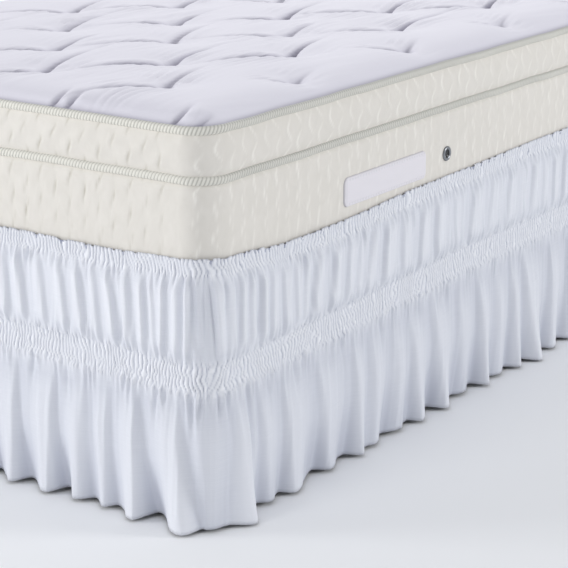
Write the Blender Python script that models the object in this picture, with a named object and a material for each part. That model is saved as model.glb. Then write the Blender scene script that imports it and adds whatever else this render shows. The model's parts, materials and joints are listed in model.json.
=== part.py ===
# Wrap-around bed skirt with two gathered tiers, on a plain mattress and bed base.
# Metres, +Z up. X is the bed's width, Y its length, and the foot of the bed is at -Y.
# The origin is on the floor, below the middle of the bed.

import math

import bpy
import numpy as np

# Mattress and bed base
MATTRESS_WIDTH = 0.990
MATTRESS_LENGTH = 1.900
BED_CORNER_RADIUS = 0.050
CORNER_STEPS = 4
FIT_GAP = 0.0003
BASE_BOTTOM = 0.110
MATTRESS_BOTTOM = 0.386
LOWER_TAPE_HEIGHT = 0.510
UPPER_TAPE_HEIGHT = 0.580
TAPE_WIDTH = 0.0124
TAPE_GROOVE = 0.0035
TAPE_PROUD = 0.0022
EDGE_ROUNDING = 0.012
ROLL_HEIGHT = 0.006
SIDE_BULGE = 0.001
TOP_CROWN = 0.026
CROWN_SHOULDER = 0.022
SHOULDER_LINES = (0.012, 0.035)

# Tufts in the mattress top, staggered from row to row
TUFT_FIRST_ROW = 0.144
TUFT_ROW_PITCH = 0.158
TUFT_ROWS = 11
TUFTS_IN_ROW = 4
TUFT_SPACING = 0.233
TUFT_SIDE_MARGIN = 0.0635
TUFT_DEPTH = 0.013
TUFT_RADIUS = 0.050

# Feet under the base
FOOT_RADIUS = 0.025
FOOT_STEPS = 16
EDGE_CHAMFER = 0.003
FOOT_ROW_X = 0.430
FOOT_ROWS_Y = (-0.880, 0.0, 0.880)

# Handle and air vent on the shown long side of the mattress
HANDLE_FROM_FOOT = 0.335
HANDLE_LENGTH = 0.240
HANDLE_BOTTOM = 0.408
HANDLE_HEIGHT = 0.047
HANDLE_THICKNESS = 0.003
VENT_FROM_FOOT = 0.642
VENT_HEIGHT = 0.436
VENT_RADIUS = 0.012
VENT_HOLE_RADIUS = 0.0065
VENT_THICKNESS = 0.0025
VENT_STEPS = 20

# Skirt cloth and its bands
CLOTH_THICKNESS = 0.0018
SKIRT_CORNER_RADIUS = 0.044
HEADING_WIDTH = 0.024
BAND_WIDTH = 0.038
HEM_HEIGHT = 0.0032
HEM_LIFT = 0.004
SEAM_GAP = 0.0003
LEAST_MITRE = 0.6
CLOSEST_COLUMNS = 0.0015

# How far the folds stand off the bed, and at the corner seams
UPPER_TROUGH = 0.0032
UPPER_CREST = 0.0105
LOWER_TROUGH = 0.0034
LOWER_CREST = 0.0160
LEAST_SWELL = 0.5
HEM_REACH = 0.0280
HEM_TUCK = 0.0150
BAND_RIPPLE = 0.0008
CORNER_BILLOW = 0.0090
CORNER_HEM = 0.0040

# Steep side of a fold: its width at the bands, and its greatest share of the gap to the next fold
STEEP_WIDTH = 0.011
STEEP_SHARE = 0.42

# Heights of each tier's inner rows, as shares of the tier's drop
UPPER_ROW_DROPS = (0.16, 0.84)
LOWER_ROW_DROPS = (0.17, 0.51)

# Folds beyond the tables, drawn by a seeded rule: lean, least pitch and places as shares of the side's
# smallest pitch, depths and reaches as weights, and how many of the largest pitch stay free at the end
FOLD_LEAN = (-0.25, 0.10)
LEAST_PITCH = 0.7
TROUGH_BEFORE_CREST = (0.34, 0.46)
UPPER_DEPTHS = (0.35, 1.0)
HEM_DEPTHS = (0.2, 1.0)
HEM_REACHES = (0.1, 0.7)
UPPER_STOP = 1.5
LOWER_STOP = 2.3
BAND_SHIFT = (-0.15, 0.10)
FIRST_UPPER = (0.012, 0.014, 0.7)
FIRST_LOWER = (0.046, 0.015, -0.05, 0.045, 1.0)
LAST_CREST = 0.045
LAST_TROUGH = 0.073
LAST_AT_BAND = 0.057

# Upper tier of the foot panel, from the shown corner's seam.
# Each row is one fold: place below the heading, place above the middle band, depth.
FOOT_UPPER = (
    (0.020, 0.025, 0.7), (0.038, 0.040, 0.9), (0.061, 0.066, 0.8), (0.083, 0.080, 0.4),
    (0.101, 0.097, 1.0), (0.128, 0.122, 0.7), (0.161, 0.146, 1.0), (0.190, 0.180, 0.6),
    (0.220, 0.206, 0.9), (0.251, 0.240, 0.8), (0.291, 0.280, 0.6), (0.331, 0.320, 0.9),
)

# Upper tier of the right panel, from the same seam.
RIGHT_UPPER = (
    (0.009, 0.014, 0.8), (0.031, 0.033, 0.4), (0.056, 0.056, 0.9), (0.079, 0.080, 0.5),
    (0.107, 0.106, 0.9), (0.133, 0.130, 0.6), (0.160, 0.166, 0.7), (0.190, 0.197, 0.6),
    (0.218, 0.213, 0.4), (0.251, 0.232, 0.8), (0.300, 0.283, 0.9), (0.336, 0.328, 0.6),
    (0.372, 0.356, 0.4), (0.403, 0.383, 0.7), (0.445, 0.431, 1.0), (0.493, 0.491, 0.6),
    (0.550, 0.543, 1.0), (0.597, 0.593, 0.7), (0.656, 0.653, 0.4), (0.721, 0.703, 0.7),
    (0.783, 0.766, 0.4), (0.841, 0.836, 0.4), (0.887, 0.885, 0.3), (0.931, 0.921, 0.5),
    (0.970, 0.970, 0.3),
)

# Lower tier of the foot panel. Each row is one fold: place at the middle band,
# then at the hem the place and depth of its trough and the place and reach of its crest.
FOOT_LOWER = (
    (0.046, 0.010, -0.05, 0.031, 1.00), (0.118, 0.094, 0.90, 0.118, 0.80),
    (0.168, 0.162, 0.30, 0.180, 0.35), (0.211, 0.206, 0.45, 0.233, 0.40),
    (0.270, 0.264, 1.00, 0.288, 0.55), (0.345, 0.336, 0.80, 0.358, 0.45),
)

# Lower tier of the right panel.
RIGHT_LOWER = (
    (0.046, 0.022, -0.05, 0.060, 0.95), (0.096, 0.110, 0.70, 0.134, 0.10),
    (0.158, 0.164, 0.45, 0.186, 0.45), (0.246, 0.264, 1.00, 0.291, 0.20),
    (0.348, 0.344, 0.80, 0.372, 0.45), (0.401, 0.395, 0.10, 0.425, 0.20),
    (0.465, 0.457, 0.75, 0.498, 0.10), (0.515, 0.532, 0.60, 0.556, 0.45),
    (0.583, 0.604, 1.00, 0.632, 0.55), (0.670, 0.678, 0.70, 0.712, 0.05),
    (0.738, 0.748, 0.85, 0.774, 0.55), (0.806, 0.800, 0.30, 0.832, 0.20),
    (0.855, 0.864, 0.40, 0.890, 0.55), (0.900, 0.918, 0.20, 0.946, 1.00),
    (1.008, 0.993, 0.45, 1.020, 0.50),
)

# Height of the heading's top edge: distance from the panel's first seam, height.
CORNER_HEADING_TOP = 0.404
FOOT_HEADING = ((0.05, 0.402), (0.17, 0.398), (0.35, 0.400), (0.70, 0.397))
RIGHT_HEADING = ((0.06, 0.399), (0.17, 0.390), (0.30, 0.391), (0.57, 0.400), (1.02, 0.405), (1.50, 0.398))
HEAD_HEADING = ((0.20, 0.398), (0.50, 0.402), (0.80, 0.397))
LEFT_HEADING = ((0.20, 0.397), (0.70, 0.403), (1.20, 0.396), (1.60, 0.401))

# Height of the middle band's centre line, in the same way.
CORNER_BAND = 0.229
FOOT_BAND = ((0.05, 0.230), (0.20, 0.235), (0.35, 0.236), (0.70, 0.233))
RIGHT_BAND = ((0.10, 0.231), (0.30, 0.235), (0.50, 0.240), (0.70, 0.245), (1.00, 0.243), (1.50, 0.235))
HEAD_BAND = ((0.25, 0.235), (0.60, 0.231))
LEFT_BAND = ((0.30, 0.236), (0.90, 0.231), (1.40, 0.238))

# Panels: start corner (signs of X and Y), direction away from it, outward direction.
PANELS = {
    "skirt_foot": {"corner": (1, -1), "along": (-1, 0), "out": (0, -1), "upper": FOOT_UPPER,
                   "lower": FOOT_LOWER, "heading": FOOT_HEADING, "band": FOOT_BAND,
                   "pitch": (0.026, 0.036), "broad": (0.050, 0.068), "seed": 11},
    "skirt_right": {"corner": (1, -1), "along": (0, 1), "out": (1, 0), "upper": RIGHT_UPPER,
                    "lower": RIGHT_LOWER, "heading": RIGHT_HEADING, "band": RIGHT_BAND,
                    "pitch": (0.036, 0.054), "broad": (0.062, 0.088), "seed": 12},
    "skirt_head": {"corner": (1, 1), "along": (-1, 0), "out": (0, 1), "upper": (),
                   "lower": (), "heading": HEAD_HEADING, "band": HEAD_BAND,
                   "pitch": (0.026, 0.040), "broad": (0.052, 0.072), "seed": 13},
    "skirt_left": {"corner": (-1, -1), "along": (0, 1), "out": (-1, 0), "upper": (),
                   "lower": (), "heading": LEFT_HEADING, "band": LEFT_BAND,
                   "pitch": (0.034, 0.054), "broad": (0.062, 0.088), "seed": 14},
}


def new_material(name, color, roughness, metallic=0.0):
    material = bpy.data.materials.new(name)
    material.use_nodes = True
    shader = material.node_tree.nodes["Principled BSDF"]
    shader.inputs["Base Color"].default_value = (*color, 1.0)
    shader.inputs["Roughness"].default_value = roughness
    shader.inputs["Metallic"].default_value = metallic
    material.diffuse_color = (*color, 1.0)
    return material


def add_object(name, points, faces, material):
    mesh = bpy.data.meshes.new(name)
    mesh.from_pydata([tuple(point) for point in points], [], faces)
    mesh.validate()
    mesh.materials.append(material)
    item = bpy.data.objects.new(name, mesh)
    bpy.context.collection.objects.link(item)
    return item


# Rounded rectangles and the solids stacked from them

def bed_outline(inset):
    """Points round the bed, counterclockwise: four arcs joined by straight runs."""
    half_x = MATTRESS_WIDTH / 2 - BED_CORNER_RADIUS
    half_y = MATTRESS_LENGTH / 2 - BED_CORNER_RADIUS
    radius = BED_CORNER_RADIUS - inset
    points = []
    for quarter, (sx, sy) in enumerate(((1, 1), (-1, 1), (-1, -1), (1, -1))):
        for step in range(CORNER_STEPS + 1):
            angle = math.pi / 2 * (quarter + step / CORNER_STEPS)
            points.append((sx * half_x + radius * math.cos(angle), sy * half_y + radius * math.sin(angle)))
    return points


def stacked_solid(name, profile, material):
    """Closed solid through rounded rectangles. profile: rows of height and inset, bottom first."""
    points = []
    for height, inset in profile:
        points += [(x, y, height) for x, y in bed_outline(inset)]
    count = len(bed_outline(0.0))
    faces = [tuple(reversed(range(count)))]
    for level in range(len(profile) - 1):
        for i in range(count):
            j = (i + 1) % count
            low, high = level * count, (level + 1) * count
            faces.append((low + i, low + j, high + j, high + i))
    faces.append(tuple(range((len(profile) - 1) * count, len(profile) * count)))
    return add_object(name, points, faces, material)


def tape_ring(name, height, material):
    """Flat tape laid in the groove round the mattress, a closed ring of four-sided section."""
    low, high = height - TAPE_WIDTH / 2, height + TAPE_WIDTH / 2
    inner = TAPE_GROOVE - FIT_GAP
    section = ((low, inner), (low, -TAPE_PROUD), (high, -TAPE_PROUD), (high, inner))
    points = []
    for level, inset in section:
        points += [(x, y, level) for x, y in bed_outline(inset)]
    count = len(bed_outline(0.0))
    faces = []
    for row in range(4):
        this, following = row * count, (row + 1) % 4 * count
        for i in range(count):
            j = (i + 1) % count
            faces.append((this + i, this + j, following + j, following + i))
    return add_object(name, points, faces, material)


# Mattress: core below, tufted pillow top above

def mattress_core(material):
    low, high = MATTRESS_BOTTOM, LOWER_TAPE_HEIGHT - TAPE_WIDTH / 2 - FIT_GAP
    bend = EDGE_ROUNDING * (1 - math.cos(math.pi / 4))
    profile = (
        (low, EDGE_ROUNDING), (low + bend, bend), (low + EDGE_ROUNDING, 0.0),
        ((low + high) / 2, -SIDE_BULGE), (high - ROLL_HEIGHT, 0.0), (high, TAPE_GROOVE),
        (LOWER_TAPE_HEIGHT - FIT_GAP / 2, TAPE_GROOVE),
    )
    return stacked_solid("mattress_core", profile, material)


def arc_height(step):
    """How far a corner arc's point lies from the end of the bed."""
    return BED_CORNER_RADIUS * (1 - math.cos(math.pi / 2 * step / CORNER_STEPS))


def tuft_places():
    """Tuft centres: rows from the foot, the first and every second after it moved by half a spacing."""
    places = []
    for row in range(TUFT_ROWS):
        y = -MATTRESS_LENGTH / 2 + TUFT_FIRST_ROW + TUFT_ROW_PITCH * row
        margin = TUFT_SIDE_MARGIN + TUFT_SPACING / 2 * ((row + 1) % 2)
        for k in range(TUFTS_IN_ROW):
            places.append((MATTRESS_WIDTH / 2 - margin - TUFT_SPACING * k, y))
    return places


def top_height(x, y, edge_distance):
    """Crown that rises from the edge, less a round dimple at each tuft."""
    height = UPPER_TAPE_HEIGHT + TAPE_WIDTH / 2
    height += TOP_CROWN * (1 - math.exp(-edge_distance / CROWN_SHOULDER))
    for tuft_x, tuft_y in tuft_places():
        apart = ((x - tuft_x) ** 2 + (y - tuft_y) ** 2) / TUFT_RADIUS ** 2
        height -= TUFT_DEPTH * math.exp(-apart) * min(1.0, edge_distance / CROWN_SHOULDER)
    return height


def grid_lines():
    """Lines of the top's grid: across at a quarter of the tuft spacing, along at half the row pitch."""
    half_x, half_y = MATTRESS_WIDTH / 2, MATTRESS_LENGTH / 2
    steps = math.floor((MATTRESS_WIDTH - 2 * TUFT_SIDE_MARGIN) / (TUFT_SPACING / 4))
    across = [0.0, *SHOULDER_LINES]
    across += [MATTRESS_WIDTH - TUFT_SIDE_MARGIN - TUFT_SPACING / 4 * k for k in range(steps, -1, -1)]
    across += [MATTRESS_WIDTH - line for line in reversed(SHOULDER_LINES)] + [MATTRESS_WIDTH]
    arc = [arc_height(k) for k in range(CORNER_STEPS + 1)]
    along = arc + [TUFT_FIRST_ROW + TUFT_ROW_PITCH / 2 * k for k in range(-1, 2 * TUFT_ROWS)]
    along += [MATTRESS_LENGTH - step for step in reversed(arc)]
    return [x - half_x for x in across], [y - half_y for y in along]


def into_outline(x, y, inset):
    """Moves a point of the full rectangle into the rounded one, and gives its half width there."""
    straight_x = MATTRESS_WIDTH / 2 - BED_CORNER_RADIUS
    straight_y = MATTRESS_LENGTH / 2 - BED_CORNER_RADIUS
    radius = BED_CORNER_RADIUS - inset
    into_arc = max(0.0, abs(y) - straight_y) * radius / BED_CORNER_RADIUS
    half = straight_x + math.sqrt(max(0.0, radius ** 2 - into_arc ** 2))
    return x / (MATTRESS_WIDTH / 2) * half, math.copysign(min(abs(y), straight_y) + into_arc, y), half


def pillow_top(material):
    """Gusset, groove and tufted top in one solid. The top is a grid whose rim is the bed's outline."""
    across, along = grid_lines()
    columns, rows = len(across), len(along)
    points = []
    index = {}
    for j in range(rows):
        for i in range(columns):
            x, y, half = into_outline(across[i], along[j], TAPE_GROOVE)
            distance = min(half - abs(x), MATTRESS_LENGTH / 2 - TAPE_GROOVE - abs(y))
            index[i, j] = len(points)
            points.append((x, y, top_height(x, y, max(0.0, distance))))
    faces = []
    for j in range(rows - 1):
        for i in range(columns - 1):
            faces.append((index[i, j], index[i + 1, j], index[i + 1, j + 1], index[i, j + 1]))

    rim = [(i, 0) for i in range(columns - 1)] + [(columns - 1, j) for j in range(rows - 1)]
    rim += [(i, rows - 1) for i in range(columns - 1, 0, -1)] + [(0, j) for j in range(rows - 1, 0, -1)]
    low = LOWER_TAPE_HEIGHT + TAPE_WIDTH / 2 + FIT_GAP
    high = UPPER_TAPE_HEIGHT - TAPE_WIDTH / 2 - FIT_GAP
    side = (
        (high, TAPE_GROOVE), (high - ROLL_HEIGHT, 0.0), ((low + high) / 2, -SIDE_BULGE),
        (low + ROLL_HEIGHT, 0.0), (low, TAPE_GROOVE), (LOWER_TAPE_HEIGHT + FIT_GAP / 2, TAPE_GROOVE),
    )
    above = [index[pair] for pair in rim]
    for height, inset in side:
        below = []
        for i, j in rim:
            x, y, _ = into_outline(across[i], along[j], inset)
            below.append(len(points))
            points.append((x, y, height))
        for k in range(len(rim)):
            following = (k + 1) % len(rim)
            faces.append((below[k], below[following], above[following], above[k]))
        above = below
    faces.append(tuple(reversed(above)))
    return add_object("pillow_top", points, faces, material)


def side_handle(material):
    """Rectangle of cloth sewn flat on the long side."""
    inner = MATTRESS_WIDTH / 2 + SIDE_BULGE + FIT_GAP
    start = -MATTRESS_LENGTH / 2 + HANDLE_FROM_FOOT
    corners = ((start, HANDLE_BOTTOM), (start + HANDLE_LENGTH, HANDLE_BOTTOM),
               (start + HANDLE_LENGTH, HANDLE_BOTTOM + HANDLE_HEIGHT), (start, HANDLE_BOTTOM + HANDLE_HEIGHT))
    points = [(x, y, z) for x in (inner, inner + HANDLE_THICKNESS) for y, z in corners]
    faces = [(3, 2, 1, 0), (4, 5, 6, 7)]
    faces += [(i, (i + 1) % 4, (i + 1) % 4 + 4, i + 4) for i in range(4)]
    return add_object("side_handle", points, faces, material)


def air_vent(material):
    """Metal eyelet: a flat ring set on the long side."""
    inner = MATTRESS_WIDTH / 2 + SIDE_BULGE + FIT_GAP
    centre_y = -MATTRESS_LENGTH / 2 + VENT_FROM_FOOT
    section = ((inner, VENT_HOLE_RADIUS), (inner, VENT_RADIUS), (inner + VENT_THICKNESS / 2, VENT_RADIUS),
               (inner + VENT_THICKNESS, (VENT_RADIUS + VENT_HOLE_RADIUS) / 2),
               (inner + VENT_THICKNESS / 2, VENT_HOLE_RADIUS))
    points = []
    for step in range(VENT_STEPS):
        angle = 2 * math.pi * step / VENT_STEPS
        points += [(x, centre_y + r * math.cos(angle), VENT_HEIGHT + r * math.sin(angle)) for x, r in section]
    count = len(section)
    faces = []
    for step in range(VENT_STEPS):
        this, following = step * count, (step + 1) % VENT_STEPS * count
        for k in range(count):
            m = (k + 1) % count
            faces.append((this + k, following + k, following + m, this + m))
    return add_object("air_vent", points, faces, material)


# Bed base on its feet

def bed_base(material):
    top = MATTRESS_BOTTOM - FIT_GAP
    profile = ((BASE_BOTTOM, EDGE_CHAMFER), (BASE_BOTTOM + EDGE_CHAMFER, 0.0),
               (top - EDGE_CHAMFER, 0.0), (top, EDGE_CHAMFER))
    return stacked_solid("bed_base", profile, material)


def bed_foot(number, x, y, material):
    """Plain turned foot, flat on the floor."""
    profile = ((0.0, FOOT_RADIUS - EDGE_CHAMFER), (EDGE_CHAMFER, FOOT_RADIUS),
               (BASE_BOTTOM - FIT_GAP, FOOT_RADIUS))
    points = []
    for height, radius in profile:
        for step in range(FOOT_STEPS):
            angle = 2 * math.pi * step / FOOT_STEPS
            points.append((x + radius * math.cos(angle), y + radius * math.sin(angle), height))
    faces = [tuple(reversed(range(FOOT_STEPS)))]
    for level in range(len(profile) - 1):
        low, high = level * FOOT_STEPS, (level + 1) * FOOT_STEPS
        for i in range(FOOT_STEPS):
            j = (i + 1) % FOOT_STEPS
            faces.append((low + i, low + j, high + j, high + i))
    faces.append(tuple(range((len(profile) - 1) * FOOT_STEPS, len(profile) * FOOT_STEPS)))
    return add_object(f"bed_foot_{number}", points, faces, material)


# Skirt panels: each is one cloth from seam to seam, seams at the middle of the corners

def skirt_plane():
    """Half sizes of the rounded rectangle that the cloth's middle surface follows where it grips."""
    stand_off = FIT_GAP + CLOTH_THICKNESS / 2
    return MATTRESS_WIDTH / 2 + stand_off, MATTRESS_LENGTH / 2 + stand_off


def panel_run(panel):
    """Straight length of a panel and its whole length from seam to seam."""
    half = np.array(skirt_plane())
    straight = 2 * (np.abs(np.array(panel["along"])) @ half - SKIRT_CORNER_RADIUS)
    return straight, straight + SKIRT_CORNER_RADIUS * math.pi / 2


def panel_place(panel, distance):
    """Plan points and outward directions at distances from the panel's first seam."""
    along, out = np.array(panel["along"], float), np.array(panel["out"], float)
    radius = SKIRT_CORNER_RADIUS
    centre = np.array(panel["corner"]) * (np.array(skirt_plane()) - radius)
    straight, _ = panel_run(panel)
    half_arc = radius * math.pi / 4
    first = np.clip(half_arc - distance, 0.0, None) / radius
    last = np.clip(distance - half_arc - straight, 0.0, None) / radius
    turn = last - first
    direction = np.cos(turn)[:, None] * out + np.sin(turn)[:, None] * along
    run = np.clip(distance - half_arc, 0.0, straight)
    return centre + run[:, None] * along + radius * direction, direction


def upper_folds(panel):
    """Rows of place below the heading, place above the band and depth, up to the last seam."""
    _, length = panel_run(panel)
    folds = list(panel["upper"]) or [FIRST_UPPER]
    random = np.random.RandomState(panel["seed"])
    low, high = panel["pitch"]
    while folds[-1][0] < length - UPPER_STOP * high:
        place = folds[-1][0] + random.uniform(low, high)
        below = max(place + random.uniform(*FOLD_LEAN) * low, folds[-1][1] + LEAST_PITCH * low)
        folds.append((place, below, random.uniform(*UPPER_DEPTHS)))
    return np.array(folds)


def lower_folds(panel):
    """Rows of place at the band, then trough place, depth, crest place and reach at the hem."""
    _, length = panel_run(panel)
    folds = list(panel["lower"]) or [FIRST_LOWER]
    random = np.random.RandomState(panel["seed"] + 100)
    low, high = panel["broad"]
    while folds[-1][3] < length - LOWER_STOP * high:
        crest = folds[-1][3] + random.uniform(low, high)
        trough = crest - random.uniform(*TROUGH_BEFORE_CREST) * low
        band = (crest + trough) / 2 + random.uniform(*BAND_SHIFT) * low
        folds.append((band, trough, random.uniform(*HEM_DEPTHS), crest, random.uniform(*HEM_REACHES)))
    folds.append((length - LAST_AT_BAND, length - LAST_TROUGH, 0.5, length - LAST_CREST, 1.0))
    return np.array(folds)


def upper_knots(panel, drop):
    """Places and offsets of troughs and crests in the upper tier, drop 0 at the heading, 1 at the band."""
    _, length = panel_run(panel)
    folds = upper_folds(panel)
    middle = folds[:, 0] * (1 - drop) + folds[:, 1] * drop
    gaps = np.diff(np.append(middle, length))
    half = np.minimum(STEEP_WIDTH, STEEP_SHARE * gaps) / 2
    half = np.minimum(half, STEEP_SHARE * np.diff(np.insert(middle, 0, 0.0)))
    return middle - half, middle + half, folds[:, 2]


def lower_knots(panel, drop):
    """Places and weights of troughs and crests in the lower tier, drop 0 at the band, 1 at the hem."""
    folds = lower_folds(panel)
    trough = (folds[:, 0] - STEEP_WIDTH / 2) * (1 - drop) + folds[:, 1] * drop
    crest = (folds[:, 0] + STEEP_WIDTH / 2) * (1 - drop) + folds[:, 3] * drop
    return trough, crest, folds[:, 2], folds[:, 4]


def ease_through(places, values, at):
    """Half cosine waves between knots, flat at each knot."""
    k = np.clip(np.searchsorted(places, at, side="right") - 1, 0, len(places) - 2)
    t = (at - places[k]) / (places[k + 1] - places[k])
    return values[k] + (values[k + 1] - values[k]) * (1 - np.cos(math.pi * t)) / 2


def height_along(panel, key, corner_height, at):
    _, length = panel_run(panel)
    knots = np.array(((0.0, corner_height), *panel[key], (length, corner_height)))
    return ease_through(knots[:, 0], knots[:, 1], at)


def columns_between(trough, crest, start, end, steps):
    """Column places: each trough and crest, and steps - 1 places down each gentle side."""
    places = [start]
    following = np.append(trough[1:], end)
    for low, high, after in zip(trough, crest, following):
        places += [low, high]
        places += [high + (after - high) * k / steps for k in range(1, steps)]
    places.append(end)
    return np.array(places)


def panel_rows(panel):
    """Rows of a panel from heading to hem: column places, offsets from the skirt plane, heights."""
    _, length = panel_run(panel)
    start, end = SEAM_GAP / 2, length - SEAM_GAP / 2

    def offsets(trough, crest, low, high, at, corner):
        places = np.concatenate(([start], np.column_stack((trough, crest)).ravel(), [end]))
        values = np.concatenate(([corner], np.column_stack((low, high)).ravel(), [corner]))
        return ease_through(places, values, at)

    def gripped_row(trough, crest, height):
        """Row that the elastic holds to the bed, with more columns where it bends round a corner."""
        arc = SKIRT_CORNER_RADIUS * math.pi / 4 * np.arange(1, CORNER_STEPS + 1) / CORNER_STEPS
        arc = np.append(arc, length - arc)
        at = columns_between(trough, crest, start, end, 1)
        apart = np.abs(at[:, None] - arc).min(axis=1)
        at = np.union1d(at[apart > CLOSEST_COLUMNS], arc)
        offset = offsets(trough, crest, 0 * trough, 0 * trough + BAND_RIPPLE, at, 0.0)
        return at, offset, height(at)

    def heading_top(at):
        return height_along(panel, "heading", CORNER_HEADING_TOP, at)

    def band_middle(at):
        return height_along(panel, "band", CORNER_BAND, at)

    rows = []
    trough, crest, _ = upper_knots(panel, 0.0)
    rows.append(gripped_row(trough, crest, heading_top))
    rows.append(gripped_row(trough, crest, lambda at: heading_top(at) - HEADING_WIDTH))
    for drop in UPPER_ROW_DROPS:
        trough, crest, depth = upper_knots(panel, drop)
        at = columns_between(trough, crest, start, end, 2)
        swing = (UPPER_CREST - UPPER_TROUGH) * depth
        low = UPPER_TROUGH + (UPPER_CREST - UPPER_TROUGH - swing) / 2
        offset = offsets(trough, crest, low, low + swing, at, UPPER_TROUGH)
        top, bottom = heading_top(at) - HEADING_WIDTH, band_middle(at) + BAND_WIDTH / 2
        rows.append((at, offset, top + (bottom - top) * drop))
    trough, crest, _ = upper_knots(panel, 1.0)
    rows.append(gripped_row(trough, crest, lambda at: band_middle(at) + BAND_WIDTH / 2))

    trough, crest, _, _ = lower_knots(panel, 0.0)
    rows.append(gripped_row(trough, crest, lambda at: band_middle(at) - BAND_WIDTH / 2))
    for drop in LOWER_ROW_DROPS:
        trough, crest, _, reach = lower_knots(panel, drop)
        at = columns_between(trough, crest, start, end, 3)
        high = LOWER_TROUGH + (LOWER_CREST - LOWER_TROUGH) * (LEAST_SWELL + (1 - LEAST_SWELL) * reach)
        offset = offsets(trough, crest, 0 * trough + LOWER_TROUGH, high, at, CORNER_BILLOW)
        top = band_middle(at) - BAND_WIDTH / 2
        rows.append((at, offset, top + (HEM_HEIGHT - top) * drop))
    trough, crest, depth, reach = lower_knots(panel, 1.0)
    at = columns_between(trough, crest, start, end, 3)
    offset = offsets(trough, crest, -HEM_TUCK * depth, HEM_REACH * reach, at, CORNER_HEM)
    lift = HEM_LIFT * (HEM_REACH - offset) / (HEM_REACH + HEM_TUCK)
    rows.append((at, offset, HEM_HEIGHT + lift))
    return rows


def skin_offsets(plan, first_direction, last_direction):
    """Vectors from a row's curve in plan towards its outer skin, mitred so that each stretch has the whole
    thickness. At both ends they lie along the seam."""
    step = np.diff(plan, axis=0)
    square = np.column_stack((step[:, 1], -step[:, 0])) / np.linalg.norm(step, axis=1)[:, None]
    if square[0] @ first_direction < 0:
        square = -square
    before, after = np.vstack((square[:1], square)), np.vstack((square, square[-1:]))
    mitre = before + after
    mitre[0], mitre[-1] = first_direction, last_direction
    mitre /= np.linalg.norm(mitre, axis=1)[:, None]
    return mitre / np.maximum(np.sum(mitre * before, axis=1), LEAST_MITRE)[:, None]


def stitch(upper, lower, upper_row, lower_row):
    """Triangles between two rows of point numbers. Equal rows pair up and split along the shorter diagonal
    of the cloth's middle surface, so that both skins split alike. Other rows zip by their places."""
    (upper_places, upper_middle), (lower_places, lower_middle) = upper_row, lower_row
    faces = []
    if len(upper) == len(lower):
        falling = np.linalg.norm(upper_middle[:-1] - lower_middle[1:], axis=1)
        rising = np.linalg.norm(lower_middle[:-1] - upper_middle[1:], axis=1)
        for i, falls in enumerate(falling < rising):
            if falls:
                faces += [(upper[i], lower[i], lower[i + 1]), (upper[i], lower[i + 1], upper[i + 1])]
            else:
                faces += [(upper[i], lower[i], upper[i + 1]), (lower[i], lower[i + 1], upper[i + 1])]
        return faces
    i = j = 0
    while i < len(upper) - 1 or j < len(lower) - 1:
        at_end = j == len(lower) - 1
        if at_end or (i < len(upper) - 1 and upper_places[i + 1] <= lower_places[j + 1]):
            faces.append((upper[i], lower[j], upper[i + 1]))
            i += 1
        else:
            faces.append((upper[i], lower[j], lower[j + 1]))
            j += 1
    return faces


def skirt_panel(name, panel, material):
    """One panel as a solid sheet: an outer and an inner skin joined round all four edges."""
    rows = panel_rows(panel)
    points, outer_rows, inner_rows, middle_rows = [], [], [], []
    for at, offset, height in rows:
        plan, direction = panel_place(panel, at)
        plan = plan + offset[:, None] * direction
        outward = skin_offsets(plan, direction[0], direction[-1])
        for side, collected in ((0.5, outer_rows), (-0.5, inner_rows)):
            skin = plan + side * CLOTH_THICKNESS * outward
            collected.append(list(range(len(points), len(points) + len(at))))
            points += [(x, y, z) for (x, y), z in zip(skin, height)]
        middle_rows.append((at, np.column_stack((plan, height))))
    faces = []
    for k in range(len(rows) - 1):
        faces += stitch(outer_rows[k], outer_rows[k + 1], middle_rows[k], middle_rows[k + 1])
        inner = stitch(inner_rows[k], inner_rows[k + 1], middle_rows[k], middle_rows[k + 1])
        faces += [tuple(reversed(face)) for face in inner]
        for end in (0, -1):
            quad = (inner_rows[k][end], inner_rows[k + 1][end], outer_rows[k + 1][end], outer_rows[k][end])
            faces.append(quad if end == 0 else tuple(reversed(quad)))
    for row, flip in ((0, False), (-1, True)):
        outer, inner = outer_rows[row], inner_rows[row]
        for i in range(len(outer) - 1):
            quad = (inner[i], outer[i], outer[i + 1], inner[i + 1])
            faces.append(tuple(reversed(quad)) if flip else quad)
    along, out = panel["along"], panel["out"]
    if along[0] * out[1] - along[1] * out[0] > 0:
        faces = [tuple(reversed(face)) for face in faces]
    return add_object(name, points, faces, material)


def build():
    for item in list(bpy.data.objects):
        bpy.data.objects.remove(item)

    ticking = new_material("mattress_ticking", (0.80, 0.78, 0.73), 0.9)
    quilted = new_material("quilted_top", (0.86, 0.86, 0.88), 0.9)
    binding = new_material("binding_tape", (0.84, 0.82, 0.76), 0.8)
    webbing = new_material("handle_cloth", (0.86, 0.85, 0.82), 0.85)
    steel = new_material("vent_steel", (0.62, 0.60, 0.56), 0.35, 1.0)
    base_cloth = new_material("base_cloth", (0.62, 0.61, 0.60), 0.95)
    foot_plastic = new_material("foot_plastic", (0.03, 0.03, 0.03), 0.5)
    skirt_cloth = new_material("skirt_microfibre", (0.80, 0.81, 0.87), 0.85)

    bed_base(base_cloth)
    feet = [(x, y) for x in (-FOOT_ROW_X, FOOT_ROW_X) for y in FOOT_ROWS_Y]
    for number, (x, y) in enumerate(feet, start=1):
        bed_foot(number, x, y, foot_plastic)
    mattress_core(ticking)
    pillow_top(quilted)
    tape_ring("tape_lower", LOWER_TAPE_HEIGHT, binding)
    tape_ring("tape_upper", UPPER_TAPE_HEIGHT, binding)
    side_handle(webbing)
    air_vent(steel)
    for name, panel in PANELS.items():
        skirt_panel(name, panel, skirt_cloth)


build()
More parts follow.
